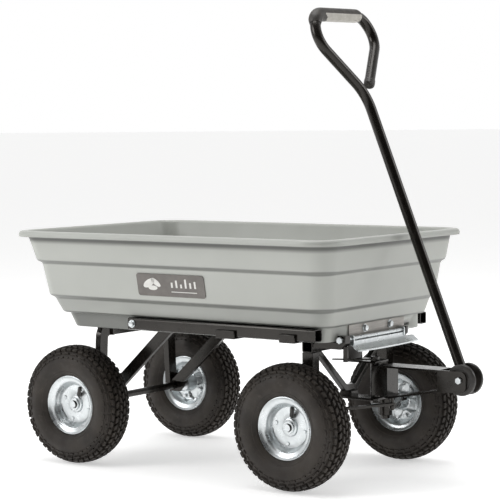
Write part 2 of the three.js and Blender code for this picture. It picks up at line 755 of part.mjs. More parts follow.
function knuckle(side) {
  const x = HALF_WHEELBASE;
  const y = side * KINGPIN_Y;
  const armZ = (side > 0 ? LEFT_TIE_ROD_Z : RIGHT_TIE_ROD_Z) - GAP;
  const sleeve = rod(15, vec(x, y, AXLE_Z - 22), vec(x, y, LEG_FOOT_Z - GAP), 18);
  const collarEnd = side * (FRONT_WHEEL_Y - HUB_INNER - 1);
  const collar = rod(15, vec(x, y, AXLE_Z), vec(x, collarEnd, AXLE_Z), 18);
  const spindleEnd = side * (FRONT_WHEEL_Y + HUB_OUTER + 8);
  const spindle = rod(SPINDLE_RADIUS, vec(x, collarEnd - side * 4, AXLE_Z), vec(x, spindleEnd, AXLE_Z), 20);
  const arm = box(x, x + STEER_ARM + 9, y - 9, y + 9, armZ - 6, armZ);
  const pin = rod(4, vec(x + STEER_ARM, y, armZ - 3), vec(x + STEER_ARM, y, armZ + TIE_ROD_THICKNESS + 3), 12);
  const way = rod(6.5, vec(x, y, 60), vec(x, y, 180));
  return cut(join(sleeve, collar, spindle, arm, pin), way);
}

function tieRod(side) {
  const start = new THREE.Vector2(HALF_WHEELBASE + STEER_ARM, side * KINGPIN_Y);
  const end = new THREE.Vector2(STEER_X + STEER_ARM, 0);
  const length = start.distanceTo(end);
  const bar = roundedRect(-8, length + 8, -6, 6, 5.9);
  for (const along of [0, length]) {
    bar.holes.push(new THREE.Path().absarc(along, 0, 4.6, 0, 2 * Math.PI));
  }
  return extrude(bar, TIE_ROD_THICKNESS - GAP, 4)
    .rotateZ(end.clone().sub(start).angle())
    .translate(start.x, start.y, side > 0 ? LEFT_TIE_ROD_Z : RIGHT_TIE_ROD_Z);
}

for (const { side, label } of SIDES) {
  add(`knuckle_${label}`, knuckle(side), blackPaint());
  add(`tie_rod_${label}`, tieRod(side), blackPaint());
}

// ---- handle -------------------------------------------------------------------------------------
const shaft = vec(-Math.sin(HANDLE_LEAN), 0, Math.cos(HANDLE_LEAN));

function handlePoint(along, side) {
  return vec(PIVOT.x, 0, PIVOT.z).addScaledVector(shaft, along).add(vec(0, side, 0));
}

const handleStations = bentStations(
  HANDLE_CORNERS.map(({ along, side, bend }) => ({ point: handlePoint(along, side), bend })),
);

function handleTube() {
  const way = rod(4.6, vec(PIVOT.x, -30, PIVOT.z), vec(PIVOT.x, 30, PIVOT.z));
  return cut(sweep(disc(HANDLE_RADIUS), handleStations, 6), way);
}
add("handle_tube", handleTube(), blackPaint());

// The stretch of the handle's path between two shares of its length, with its own end stations.
function stretch(stations, from, to) {
  const lengths = [0];
  for (let i = 1; i < stations.length; i++) {
    lengths.push(lengths[i - 1] + stations[i].distanceTo(stations[i - 1]));
  }
  const total = lengths[lengths.length - 1];
  const at = (share) => {
    const k = lengths.findIndex((length) => length > share * total);
    const blend = (share * total - lengths[k - 1]) / (lengths[k] - lengths[k - 1]);
    return stations[k - 1].clone().lerp(stations[k], blend);
  };
  const inside = stations.filter((_, i) => lengths[i] > from * total + 1 && lengths[i] < to * total - 1);
  return [at(from), ...inside, at(to)];
}

function grip() {
  const ring = disc(GRIP_RADIUS);
  ring.holes.push(new THREE.Path().absarc(0, 0, HANDLE_RADIUS + 0.7, 0, 2 * Math.PI));
  return sweep(ring, stretch(handleStations, GRIP_SPAN.from, GRIP_SPAN.to), 6);
}
add("handle_grip", grip(), gripRubber());

function endCap() {
  const last = handleStations[handleStations.length - 1];
  const along = last.clone().sub(handleStations[handleStations.length - 2]).normalize();
  return rod(HANDLE_RADIUS + 0.6, last.clone().addScaledVector(along, GAP), last.clone().addScaledVector(along, 5), 12);
}
add("handle_end_cap", endCap(), blackPlastic());

function handleYoke() {
  // Two round cheeks either side of the shaft, tied together below and ahead of the pivot.
  const { x, z } = PIVOT;
  const round = new THREE.Shape().absarc(x, z, YOKE_RADIUS, 0, 2 * Math.PI);
  const cheeks = [1, -1].map((side) => {
    return sideStanding(side, round, YOKE_INNER, YOKE_OUTER, 10);
  });
  const web = outline([
    [x - 4, z - 28.5],
    [x + 14, z - 25],
    [x + 24, z - 16],
    [x + 14, z - 12],
    [x - 4, z - 15],
  ]);
  const tie = standing(web, -YOKE_INNER - 1, YOKE_INNER + 1);
  const way = rod(4.6, vec(x, -30, z), vec(x, 30, z));
  return cut(join(...cheeks, tie), way);
}
add("handle_yoke", handleYoke(), blackPlastic());

// ---- wheels -------------------------------------------------------------------------------------
const WHEELS = [
  { name: "rear_left", x: -HALF_WHEELBASE, y: REAR_WHEEL_Y, side: 1, valveTurn: -40 },
  { name: "rear_right", x: -HALF_WHEELBASE, y: -REAR_WHEEL_Y, side: -1, valveTurn: 30 },
  { name: "front_left", x: HALF_WHEELBASE, y: FRONT_WHEEL_Y, side: 1, valveTurn: 140 },
  { name: "front_right", x: HALF_WHEELBASE, y: -FRONT_WHEEL_Y, side: -1, valveTurn: 18 },
];

// Profile points are radius, distance out from the wheel's middle plane.
function turned(profile, segments) {
  const closed = [...profile, profile[0]].map(([radius, out]) => new THREE.Vector2(radius, out));
  return new THREE.LatheGeometry(closed, segments);
}

function tyreProfile() {
  const half = [
    [TYRE_RADIUS, 14],
    [122, 31],
    [109, 38.5],
    [94, TYRE_HALF_WIDTH],
    [77, 36],
    [RIM_FLANGE_RADIUS + 1.5, 28],
    [RIM_FLANGE_RADIUS + 0.6, 23.4],
    [RIM_SEAT_RADIUS + 0.5, 23.4],
    [RIM_SEAT_RADIUS + 0.5, 17],
    [79, 29],
    [108, TYRE_HALF_WIDTH - TYRE_WALL - 2],
    [121, 14],
  ];
  const mirrored = half.map(([radius, out]) => [radius, -out]).reverse();
  return [...mirrored, ...half];
}

function rimProfile() {
  const seat = RIM_SEAT_RADIUS;
  const out = RIM_FLANGE_Y;
  return [
    [HUB_BORE, -HUB_INNER],
    [HUB_RADIUS, -HUB_INNER],
    [HUB_RADIUS, -2],
    [38, -1],
    [seat - 5, -12],
    [seat - 3, -out + 4],
    [RIM_FLANGE_RADIUS, -out],
    [RIM_FLANGE_RADIUS, -out + 3],
    [seat, -out + 3.4],
    [seat, out - 3.4],
    [RIM_FLANGE_RADIUS, out - 3],
    [RIM_FLANGE_RADIUS, out],
    [seat - 3, out - 4],
    [seat - 5, 12],
    [42, 4],
    [HUB_RADIUS, 3],
    [HUB_RADIUS, HUB_OUTER],
    [HUB_BORE, HUB_OUTER],
  ];
}

for (const { name, x, y, side, valveTurn } of WHEELS) {
  const wheel = new THREE.Group();
  wheel.position.set(x, y, AXLE_Z);
  // Outer face away from the cart, a flat of the tread on the ground.
  const facing = new THREE.Matrix4().makeRotationY(Math.PI / TYRE_FACETS);
  if (side < 0) facing.premultiply(new THREE.Matrix4().makeRotationX(Math.PI));
  model.add(wheel);
  add(`tyre_${name}`, turned(tyreProfile(), TYRE_FACETS).applyMatrix4(facing), rubber(), wheel);
  // The valve comes out through the disc beside the hub and leans outwards along a spoke.
  const turn = THREE.MathUtils.degToRad(valveTurn);
  const spoke = vec(Math.sin(turn), 0, Math.cos(turn));
  const at = (radius, out) => spoke.clone().multiplyScalar(radius).add(vec(0, side * out, 0));
  const valveWay = rod(4.9, at(26, -6), at(26, 12), 10);
  add(`rim_${name}`, cut(turned(rimProfile(), 20).applyMatrix4(facing), valveWay), zinc(), wheel);
  const valve = join(rod(4.4, at(26, -1), at(26, 11), 8), rod(4.2, at(23, 9.5), at(45, 17.5), 8));
  add(`valve_${name}`, valve, blackPlastic(), wheel);
  const nutStart = side * (HUB_OUTER + 1);
  const ring = cut(
    rod(13, vec(0, nutStart, 0), vec(0, nutStart + side * 3, 0), 16),
    rod(SPINDLE_RADIUS + 0.4, vec(0, nutStart - side * 3, 0), vec(0, nutStart + side * 8, 0), 16),
  );
  add(`axle_washer_${name}`, ring, zinc(), wheel);
}

export default cart;
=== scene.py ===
import json
import math

import bmesh
import bpy
from mathutils import Matrix, Vector


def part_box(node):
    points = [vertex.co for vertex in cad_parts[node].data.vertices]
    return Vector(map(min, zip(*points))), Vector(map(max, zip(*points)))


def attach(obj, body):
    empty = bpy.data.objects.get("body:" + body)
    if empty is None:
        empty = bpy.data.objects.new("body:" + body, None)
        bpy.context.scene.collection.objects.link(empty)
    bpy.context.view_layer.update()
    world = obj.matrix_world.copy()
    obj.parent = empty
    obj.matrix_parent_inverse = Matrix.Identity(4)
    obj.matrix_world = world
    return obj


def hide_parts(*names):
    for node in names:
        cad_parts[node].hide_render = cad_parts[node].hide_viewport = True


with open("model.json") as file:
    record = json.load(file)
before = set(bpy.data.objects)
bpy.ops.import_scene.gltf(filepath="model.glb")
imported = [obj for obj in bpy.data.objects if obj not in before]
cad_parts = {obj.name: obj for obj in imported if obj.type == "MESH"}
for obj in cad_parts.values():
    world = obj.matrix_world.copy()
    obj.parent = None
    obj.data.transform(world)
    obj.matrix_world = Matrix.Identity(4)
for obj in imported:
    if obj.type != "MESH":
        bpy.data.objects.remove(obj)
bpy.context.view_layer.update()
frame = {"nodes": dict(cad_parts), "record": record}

sides = {"left": 1, "right": -1}


# Materials: every pattern reads Object coordinates.
def shaderGroup(name):
    material = bpy.data.materials.new(name)
    material.use_nodes = True
    tree = material.node_tree
    shader = tree.nodes["Principled BSDF"]
    coordinates = tree.nodes.new("ShaderNodeTexCoord")
    return material, tree, shader, coordinates.outputs["Object"]


def noise(tree, coordinates, scale, detail=4.0, roughness=0.55, distortion=0.0):
    node = tree.nodes.new("ShaderNodeTexNoise")
    node.inputs["Scale"].default_value = scale
    node.inputs["Detail"].default_value = detail
    node.inputs["Roughness"].default_value = roughness
    node.inputs["Distortion"].default_value = distortion
    tree.links.new(coordinates, node.inputs["Vector"])
    return node.outputs["Fac"]


def stretched(tree, coordinates, scale):
    node = tree.nodes.new("ShaderNodeMapping")
    node.inputs["Scale"].default_value = scale
    tree.links.new(coordinates, node.inputs["Vector"])
    return node.outputs["Vector"]


def ramp(tree, value, stops):
    node = tree.nodes.new("ShaderNodeValToRGB")
    while len(node.color_ramp.elements) < len(stops):
        node.color_ramp.elements.new(0.5)
    for element, (position, color) in zip(node.color_ramp.elements, stops):
        element.position = position
        element.color = (*color, 1.0)
    tree.links.new(value, node.inputs["Fac"])
    return node.outputs["Color"]


def grey(value):
    return (value, value, value)


def roughnessFrom(tree, shader, pattern, low, high, stop=0.7):
    levels = ramp(tree, pattern, [(0.3, grey(low)), (stop, grey(high))])
    tree.links.new(levels, shader.inputs["Roughness"])


def bump(tree, height, strength, distance, below=None):
    node = tree.nodes.new("ShaderNodeBump")
    node.inputs["Strength"].default_value = strength
    node.inputs["Distance"].default_value = distance
    tree.links.new(height, node.inputs["Height"])
    if below is not None:
        tree.links.new(below, node.inputs["Normal"])
    return node.outputs["Normal"]


def mixColor(tree, factor, first, second, mode="MIX"):
    node = tree.nodes.new("ShaderNodeMix")
    node.data_type = "RGBA"
    node.blend_type = mode
    if isinstance(factor, float):
        node.inputs["Factor"].default_value = factor
    else:
        tree.links.new(factor, node.inputs["Factor"])
    for socket, color in (("A", first), ("B", second)):
        target = [s for s in node.inputs if s.name == socket and s.type == "RGBA"][0]
        if isinstance(color, tuple):
            target.default_value = (*color, 1.0)
        else:
            tree.links.new(color, target)
    return [s for s in node.outputs if s.type == "RGBA"][0]


tubLook = {
    "pale": (0.435, 0.445, 0.415),
    "deep": (0.415, 0.425, 0.396),
    "scuff": (0.47, 0.48, 0.45),
    "sheen": (0.34, 0.46),
    # Painted shade on the skirt's side walls, for the shadow under the lowest tier.
    "skirtSideShade": 0.45,
    "ledgeShade": 0.42,
    "lipShade": 0.24,
    "lipBand": (0.481, 0.489, 0.4952, 0.4956),  # heights: start, full, hold, end
    "middle": (-0.085, 0.0, 0.5),
}


def vectorStep(tree, operation, first, second):
    node = tree.nodes.new("ShaderNodeVectorMath")
    node.operation = operation
    tree.links.new(first, node.inputs[0])
    if isinstance(second, tuple):
        node.inputs[1].default_value = second
    else:
        tree.links.new(second, node.inputs[1])
    return node.outputs["Value" if operation == "DOT_PRODUCT" else "Vector"]


def recessShade(tree, place):
    # Painted shade under each ledge, and a painted shadow in the band of outer wall right below the lip.
    normal = tree.nodes.new("ShaderNodeTexCoord").outputs["Normal"]
    down = vectorStep(tree, "DOT_PRODUCT", normal, (0.0, 0.0, -1.0))
    ledge = ramp(tree, down, [(0.30, grey(1.0)), (0.62, grey(tubLook["ledgeShade"]))])
    away = vectorStep(tree, "SUBTRACT", place, tubLook["middle"])
    outward = vectorStep(tree, "DOT_PRODUCT", away, normal)
    outside = ramp(tree, outward, [(0.0, grey(0.0)), (0.05, grey(1.0))])
    height = vectorStep(tree, "DOT_PRODUCT", place, (0.0, 0.0, 1.0))
    start, full, hold, end = tubLook["lipBand"]
    shade = grey(tubLook["lipShade"])
    unshaded = grey(1.0)
    band = ramp(tree, height, [(start, unshaded), (full, shade), (hold, shade), (end, unshaded)])
    return mixColor(tree, 1.0, ledge, mixColor(tree, outside, unshaded, band), "MULTIPLY")


def mouldedPlastic(name, sideShade):
    material, tree, shader, place = shaderGroup(name)
    patches = noise(tree, place, 5.0, 3.0)
    clouds = ramp(tree, patches, [(0.35, tubLook["deep"]), (0.62, tubLook["pale"])])
    grain = ramp(tree, noise(tree, place, 260.0, 2.0), [(0.66, grey(0.0)), (0.8, grey(0.25))])
    worn = mixColor(tree, grain, clouds, tubLook["scuff"])
    normal = tree.nodes.new("ShaderNodeTexCoord").outputs["Normal"]
    squared = vectorStep(tree, "MULTIPLY", normal, normal)
    sideways = vectorStep(tree, "DOT_PRODUCT", squared, (0.0, 1.0, 0.0))
    # Painted shade: faces turned sideways are darkened by sideShade; only the skirt uses it, for the
    # shadow under the lowest tier.
    paintedSideShade = ramp(tree, sideways, [(0.35, grey(1.0)), (0.92, grey(sideShade))])
    # Painted shade under the ledges and below the lip, multiplied into the plastic's colour.
    withPaintedShade = mixColor(tree, 1.0, worn, recessShade(tree, place), "MULTIPLY")
    shaded = mixColor(tree, 1.0, withPaintedShade, paintedSideShade, "MULTIPLY")
    tree.links.new(shaded, shader.inputs["Base Color"])
    roughnessFrom(tree, shader, noise(tree, place, 14.0), *tubLook["sheen"])
    pebble = bump(tree, noise(tree, place, 900.0, 2.0), 0.12, 0.0004)
    waves = bump(tree, noise(tree, place, 9.0, 2.0), 0.10, 0.004, pebble)
    tree.links.new(waves, shader.inputs["Normal"])
    shader.inputs["Specular IOR Level"].default_value = 0.5
    return material


paintLook = {
    "black": (0.0052, 0.0044, 0.0036),
    "worn": (0.0105, 0.0090, 0.0075),
    "dust": (0.028, 0.024, 0.020),
    "sheen": (0.16, 0.34),
}


def powderCoat():
    material, tree, shader, place = shaderGroup("powderCoat")
    patches = noise(tree, place, 22.0, 5.0)
    base = ramp(tree, patches, [(0.42, paintLook["black"]), (0.75, paintLook["worn"])])
    specks = ramp(tree, noise(tree, place, 140.0, 3.0), [(0.68, grey(0.0)), (0.82, grey(0.25))])
    tree.links.new(mixColor(tree, specks, base, paintLook["dust"]), shader.inputs["Base Color"])
    roughnessFrom(tree, shader, noise(tree, place, 40.0), *paintLook["sheen"], 0.75)
    orangePeel = bump(tree, noise(tree, place, 320.0, 2.0), 0.16, 0.0005)
    tree.links.new(orangePeel, shader.inputs["Normal"])
    shader.inputs["Specular IOR Level"].default_value = 0.32
    shader.inputs["Specular Tint"].default_value = (1.0, 0.93, 0.85, 1.0)
    shader.inputs["Coat Weight"].default_value = 0.25
    shader.inputs["Coat Roughness"].default_value = 0.12
    return material


zincLook = {
    "bright": (0.68, 0.71, 0.72),
    "cloudy": (0.60, 0.63, 0.64),
    "stain": (0.50, 0.52, 0.53),
    "sheen": (0.24, 0.36),
}


def zincPlate():
    material, tree, shader, place = shaderGroup("zincPlate")
    spangle = noise(tree, place, 46.0, 6.0, 0.62, 0.8)
    clouds = ramp(tree, spangle, [(0.34, zincLook["cloudy"]), (0.60, zincLook["bright"])])
    stains = ramp(tree, noise(tree, place, 170.0, 3.0), [(0.64, grey(0.0)), (0.80, grey(0.3))])
    tree.links.new(mixColor(tree, stains, clouds, zincLook["stain"]), shader.inputs["Base Color"])
    shader.inputs["Metallic"].default_value = 0.9
    roughnessFrom(tree, shader, noise(tree, place, 60.0), *zincLook["sheen"], 0.72)
    dents = bump(tree, noise(tree, place, 24.0, 2.0), 0.05, 0.0012)
    grained = bump(tree, noise(tree, place, 420.0, 2.0), 0.04, 0.0002, dents)
    tree.links.new(grained, shader.inputs["Normal"])
    return material


rubberLook = {
    "dark": (0.023, 0.0188, 0.0155),
    "mid": (0.041, 0.034, 0.028),
    "dust": (0.085, 0.072, 0.060),
    "sheen": (0.46, 0.72),
}


def tyreRubber():
    material, tree, shader, place = shaderGroup("tyreRubber")
    patches = noise(tree, place, 18.0, 5.0)
    base = ramp(tree, patches, [(0.36, rubberLook["dark"]), (0.66, rubberLook["mid"])])
    dust = ramp(tree, noise(tree, place, 75.0, 6.0, 0.7), [(0.56, grey(0.0)), (0.80, grey(0.55))])
    tree.links.new(mixColor(tree, dust, base, rubberLook["dust"]), shader.inputs["Base Color"])
    roughnessFrom(tree, shader, noise(tree, place, 34.0), *rubberLook["sheen"], 0.75)
    shader.inputs["Specular IOR Level"].default_value = 0.32
    skin = bump(tree, noise(tree, place, 700.0, 3.0, 0.7), 0.35, 0.0005)
    scuffed = bump(tree, noise(tree, place, 60.0, 4.0), 0.16, 0.0014, skin)
    tree.links.new(scuffed, shader.inputs["Normal"])
    return material


steelLook = {"pale": (0.40, 0.38, 0.355), "dull": (0.30, 0.283, 0.262), "sheen": (0.34, 0.48)}


def brushedSteel():
    material, tree, shader, place = shaderGroup("brushedSteel")
    strokes = noise(tree, stretched(tree, place, (1.0, 0.05, 1.0)), 520.0, 3.0)
    brushed = ramp(tree, strokes, [(0.35, steelLook["dull"]), (0.65, steelLook["pale"])])
    tree.links.new(brushed, shader.inputs["Base Color"])
    shader.inputs["Metallic"].default_value = 0.35
    roughnessFrom(tree, shader, noise(tree, place, 60.0), *steelLook["sheen"])
    tree.links.new(bump(tree, strokes, 0.12, 0.0003), shader.inputs["Normal"])
    return material


def satinPlastic(name, dark, pale, low, high):
    material, tree, shader, place = shaderGroup(name)
    mottled = ramp(tree, noise(tree, place, 55.0, 5.0), [(0.38, dark), (0.70, pale)])
    tree.links.new(mottled, shader.inputs["Base Color"])
    roughnessFrom(tree, shader, noise(tree, place, 90.0), low, high)
    pebble = bump(tree, noise(tree, place, 850.0, 2.0), 0.22, 0.0004)
    tree.links.new(pebble, shader.inputs["Normal"])
    return material


# Darker tone, paler tone, lowest and highest roughness.
satinLooks = {
    "blackPlastic": ((0.016, 0.014, 0.012), (0.036, 0.031, 0.027), 0.30, 0.48),
    "gripDark": ((0.028, 0.024, 0.021), (0.050, 0.043, 0.037), 0.42, 0.58),
    # A painted reflection: the pale colour for the grip's lower side.
    "gripPaintedReflection": ((0.42, 0.40, 0.36), (0.52, 0.50, 0.46), 0.40, 0.52),
    "badgeGround": ((0.130, 0.118, 0.108), (0.165, 0.150, 0.138), 0.34, 0.46),
    "badgeMark": ((0.70, 0.69, 0.66), (0.78, 0.77, 0.74), 0.38, 0.5),
}

plastic = mouldedPlastic("mouldedPlastic", 1.0)
# The skirt's plastic, with painted shade on its side walls.
shadedSkirtPlastic = mouldedPlastic("shadedSkirtPlastic", tubLook["skirtSideShade"])
paint = powderCoat()
zinc = zincPlate()
steel = brushedSteel()
rubber = tyreRubber()
satins = {name: satinPlastic(name, *look) for name, look in satinLooks.items()}
print("materials ready")


# Shaping used by several pieces.
def smoothMesh(name, bm, sharpAngle):
    mesh = bpy.data.meshes.new(name)
    bm.to_mesh(mesh)
    bm.free()
    for polygon in mesh.polygons:
        polygon.use_smooth = True
    mesh.set_sharp_from_angle(angle=math.radians(sharpAngle))
    return mesh


def finishMesh(name, bm, *materials, sharpAngle=35):
    mesh = smoothMesh(name, bm, sharpAngle)
    for material in materials:
        mesh.materials.append(material)
    piece = bpy.data.objects.new(name, mesh)
    bpy.context.scene.collection.objects.link(piece)
    return piece


def standIn(piece, body, slot, *nodes):
    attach(piece, body)
    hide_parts(*nodes)
    return piece


def roundEdges(piece, width, segments=2):
    rounding = piece.modifiers.new("roundEdges", "BEVEL")
    rounding.width = width
    rounding.segments = segments
    rounding.limit_method = "ANGLE"
    rounding.angle_limit = math.radians(32)
    rounding.harden_normals = False
    return piece


def softened(node, body, slot, material, width=0.0009, sharpAngle=35):
    bm = bmesh.new()
    bm.from_mesh(frame["nodes"][node].data)
    bmesh.ops.remove_doubles(bm, verts=bm.verts, dist=0.00002)
    bmesh.ops.dissolve_limit(bm, angle_limit=math.radians(0.6), verts=bm.verts, edges=bm.edges)
    piece = finishMesh(f"{node}_finished", bm, material, sharpAngle=sharpAngle)
    if width:
        roundEdges(piece, width)
    return standIn(piece, body, slot, node)


def lathe(profile, steps):
    # Profile points are radius and distance along Y; the loop closes on itself.
    bm = bmesh.new()
    verts = [bm.verts.new((radius, along, 0.0)) for radius, along in profile]
    edges = [bm.edges.new(pair) for pair in zip(verts, verts[1:] + verts[:1])]
    bmesh.ops.spin(
        bm, geom=verts + edges, cent=(0, 0, 0), axis=(0, 1, 0), angle=2 * math.pi, steps=steps,
        use_merge=True,
    )
    bmesh.ops.remove_doubles(bm, verts=bm.verts, dist=0.000002)
    bmesh.ops.recalc_face_normals(bm, faces=bm.faces)
    return bm


def roundBar(bm, segments, bottom, top, depth):
    return bmesh.ops.create_cone(
        bm, cap_ends=True, segments=segments, radius1=bottom, radius2=top, depth=depth
    )["verts"]


def vertsOf(geometry):
    return [item for item in geometry if isinstance(item, bmesh.types.BMVert)]


def roundedPlate(bm, radius, segments):
    bmesh.ops.bevel(
        bm, geom=list(bm.verts), offset=radius, segments=segments, profile=0.5, affect="VERTICES",
        material=-1,
    )


def evaluatedMesh(piece):
    bpy.context.view_layer.update()
    graph = bpy.context.evaluated_depsgraph_get()
    return bpy.data.meshes.new_from_object(piece.evaluated_get(graph))


def millimetres(points):
    return [(a * 0.001, b * 0.001) for a, b in points]


def middleOf(node):
    low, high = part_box(node)
    return (low + high) / 2


def bodyOf(node):
    for body, members in frame["record"]["behaviour"]["bodies"].items():
        if node in members:
            return body
    return None


# Tub: one unit section is extruded up through every ring, then each ring gets its own size.
tubShape = {
    "sections": {  # height, rear end, front end, half width, corner radius
        "foot": (0.328, -0.427, 0.275, 0.206, 0.036),
        "lowLedge": (0.361, -0.440, 0.282, 0.220, 0.038),
        "lowStep": (0.367, -0.449, 0.290, 0.229, 0.040),
        "highLedge": (0.437, -0.458, 0.298, 0.243, 0.042),
        "highStep": (0.443, -0.467, 0.306, 0.251, 0.043),
        "brim": (0.500, -0.486, 0.314, 0.263, 0.046),
        "lip": (0.508, -0.503, 0.332, 0.283, 0.066),
    },
    "wall": 0.005,
    "floorTop": 0.335,
    "lipBottom": 0.495,
    "cornerSegments": 14,
    "skirt": {
        "bottom": (0.298, -0.399, 0.265, 0.192, 0.030),
        "top": (0.330, -0.419, 0.265, 0.192, 0.030),
        "wall": 0.004,
    },
    "drainSlot": ((0.255, 0.112, 0.3065), (0.275, 0.134, 0.3125)),  # near the front's left end
    "hingeWay": ((-0.45, -0.152, 0.28), (-0.387, 0.152, 0.3279)),
    "strapWay": {"low": 0.28, "high": 0.3037, "half": 0.2, "gap": 0.003},
}


def shifted(section, height, inward=0.0):
    _, rear, front, half, corner = section
    return (height, rear + inward, front - inward, half - inward, max(corner - inward, 0.004))


def between(low, high, height):
    share = (height - low[0]) / (high[0] - low[0])
    return tuple(a + share * (b - a) for a, b in zip(low, high))


def ringStack(rings, cornerSegments, cap=True):
    # Each ring is a section and the softness of its edge.
    bm = bmesh.new()
    softness = bm.edges.layers.float.new("bevel_weight_edge")
    bmesh.ops.create_grid(bm, x_segments=1, y_segments=1, size=2.0)
    roundedPlate(bm, 1.0, cornerSegments)
    if not cap:
        bmesh.ops.delete(bm, geom=list(bm.faces), context="FACES_ONLY")
    ringEdges = list(bm.edges)
    largest = max(soft for _, soft in rings)
    for edge in ringEdges:
        edge[softness] = rings[0][1] / largest
    firstRing = ringEdges
    for _, soft in rings[1:]:
        grown = bmesh.ops.extrude_edge_only(bm, edges=ringEdges)["geom"]
        verts = vertsOf(grown)
        newEdges = [item for item in grown if isinstance(item, bmesh.types.BMEdge)]
        ringEdges = [edge for edge in newEdges if all(vert in verts for vert in edge.verts)]
        bmesh.ops.translate(bm, vec=(0, 0, 1), verts=verts)
        for edge in ringEdges:
            edge[softness] = soft / largest
    if cap:
        bmesh.ops.contextual_create(bm, geom=ringEdges)
    else:
        bmesh.ops.bridge_loops(bm, edges=firstRing + ringEdges)
    for vert in bm.verts:
        z, rear, front, half, corner = rings[round(vert.co.z)][0]
        u, v = vert.co.x, vert.co.y
        straight = (front - rear) / 2 - corner
        middle = (front + rear) / 2
        vert.co.x = middle + math.copysign(straight, u) + (u - math.copysign(1, u)) * corner
        vert.co.y = math.copysign(half - corner, v) + (v - math.copysign(1, v)) * corner
        vert.co.z = z
    bmesh.ops.recalc_face_normals(bm, faces=bm.faces)
    return bm, largest


def softByWeight(piece, width, segments=4):
    rounding = piece.modifiers.new("softRings", "BEVEL")
    rounding.width = width
    rounding.segments = segments
    rounding.limit_method = "WEIGHT"
    rounding.harden_normals = False
    return piece


def bakeModifiers(piece):
    finished = evaluatedMesh(piece)
    piece.modifiers.clear()
    piece.data = finished
    return piece


def carve(piece, blocks):
    cutters = []
    for low, high in blocks:
        bm = bmesh.new()
        bmesh.ops.create_cube(bm, size=1.0)
        size = Vector(high) - Vector(low)
        bmesh.ops.scale(bm, vec=size, verts=bm.verts)
        bmesh.ops.translate(bm, vec=(Vector(high) + Vector(low)) / 2, verts=bm.verts)
        cutter = finishMesh("cutter", bm)
        cutters.append(cutter)
        cutting = piece.modifiers.new("cut", "BOOLEAN")
        cutting.operation = "DIFFERENCE"
        cutting.solver = "EXACT"
        cutting.object = cutter
    bakeModifiers(piece)
    for cutter in cutters:
        bpy.data.objects.remove(cutter)
    return piece


def makeTub():
    s = tubShape["sections"]
    wall = tubShape["wall"]
    lip = s["lip"]
    top = lip[0]
    floorSection = between(s["foot"], s["lowLedge"], tubShape["floorTop"])
    rings = [
        (s["foot"], 0.005),
        (s["lowLedge"], 0.0035),
        (s["lowStep"], 0.0035),
        (s["highLedge"], 0.0035),
        (s["highStep"], 0.0035),
        (shifted(s["brim"], top - wall), 0.003),
        (shifted(lip, top - wall, wall * 0.8), 0.003),
        (shifted(lip, tubShape["lipBottom"], wall * 0.8), 0.001),
        (shifted(lip, tubShape["lipBottom"], 0.0), 0.0015),
        (shifted(lip, top - 0.0015, 0.0), 0.006),
        (shifted(lip, top, 0.010), 0.004),
        (shifted(s["brim"], top - 0.0005, wall), 0.005),
        (shifted(s["highStep"], s["highStep"][0], wall), 0.0035),
        (shifted(s["highLedge"], s["highLedge"][0], wall), 0.0035),
        (shifted(s["lowStep"], s["lowStep"][0], wall), 0.0035),
        (shifted(s["lowLedge"], s["lowLedge"][0], wall), 0.0035),
        (shifted(floorSection, tubShape["floorTop"], wall), 0.006),
    ]
    bm, softest = ringStack(rings, tubShape["cornerSegments"])
    shell = softByWeight(finishMesh("tub_shell", bm, plastic, sharpAngle=60), softest, 4)
    bakeModifiers(shell)
    return standIn(shell, "tub", "tub_plastic", "tub")


def makeSkirt():
    skirt = tubShape["skirt"]
    low, high = skirt["bottom"], skirt["top"]
    rings = [
        (low, 0.0015),
        (high, 0.0),
        (shifted(high, high[0], skirt["wall"]), 0.0),
        (shifted(low, low[0], skirt["wall"]), 0.001),
    ]
    bm, softest = ringStack(rings, tubShape["cornerSegments"], cap=False)
    piece = softByWeight(finishMesh("tub_skirt", bm, shadedSkirtPlastic, sharpAngle=50), softest, 3)
    bakeModifiers(piece)
    ways = [tubShape["hingeWay"]]
    way = tubShape["strapWay"]
    for strap in ("mid_strap", "front_strap"):
        rear, front = (corner.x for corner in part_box(strap))
        wayLow = (rear - way["gap"], -way["half"], way["low"])
        ways.append((wayLow, (front + way["gap"], way["half"], way["high"])))
    ways.append(tubShape["drainSlot"])
    carve(piece, ways)
    return standIn(piece, "tub", "tub_plastic", "tub")


makeTub()
makeSkirt()
print("tub ready")

# Label plate: plain leaf shapes and a row of bars, no lettering.
badgeShape = {
    "size": (0.176, 0.048, 0.0016),
    "corner": 0.006,
    "raise": 0.00035,
    "seat": 0.0002,
    "leaves": [  # along, up, half length, half width, degrees
        (-0.056, 0.004, 0.017, 0.0075, 28),
        (-0.038, 0.006, 0.014, 0.006, -36),
        (-0.047, -0.006, 0.012, 0.005, 0),
    ],
    "bars": [  # along, height
        (0.004, 0.011), (0.016, 0.016), (0.028, 0.008), (0.040, 0.019), (0.052, 0.012), (0.064, 0.015),
    ],
    "barFoot": -0.004,
    "barWidth": 0.0045,
    "rule": (0.034, -0.013, 0.066, 0.0016),  # along, up, length, height
}


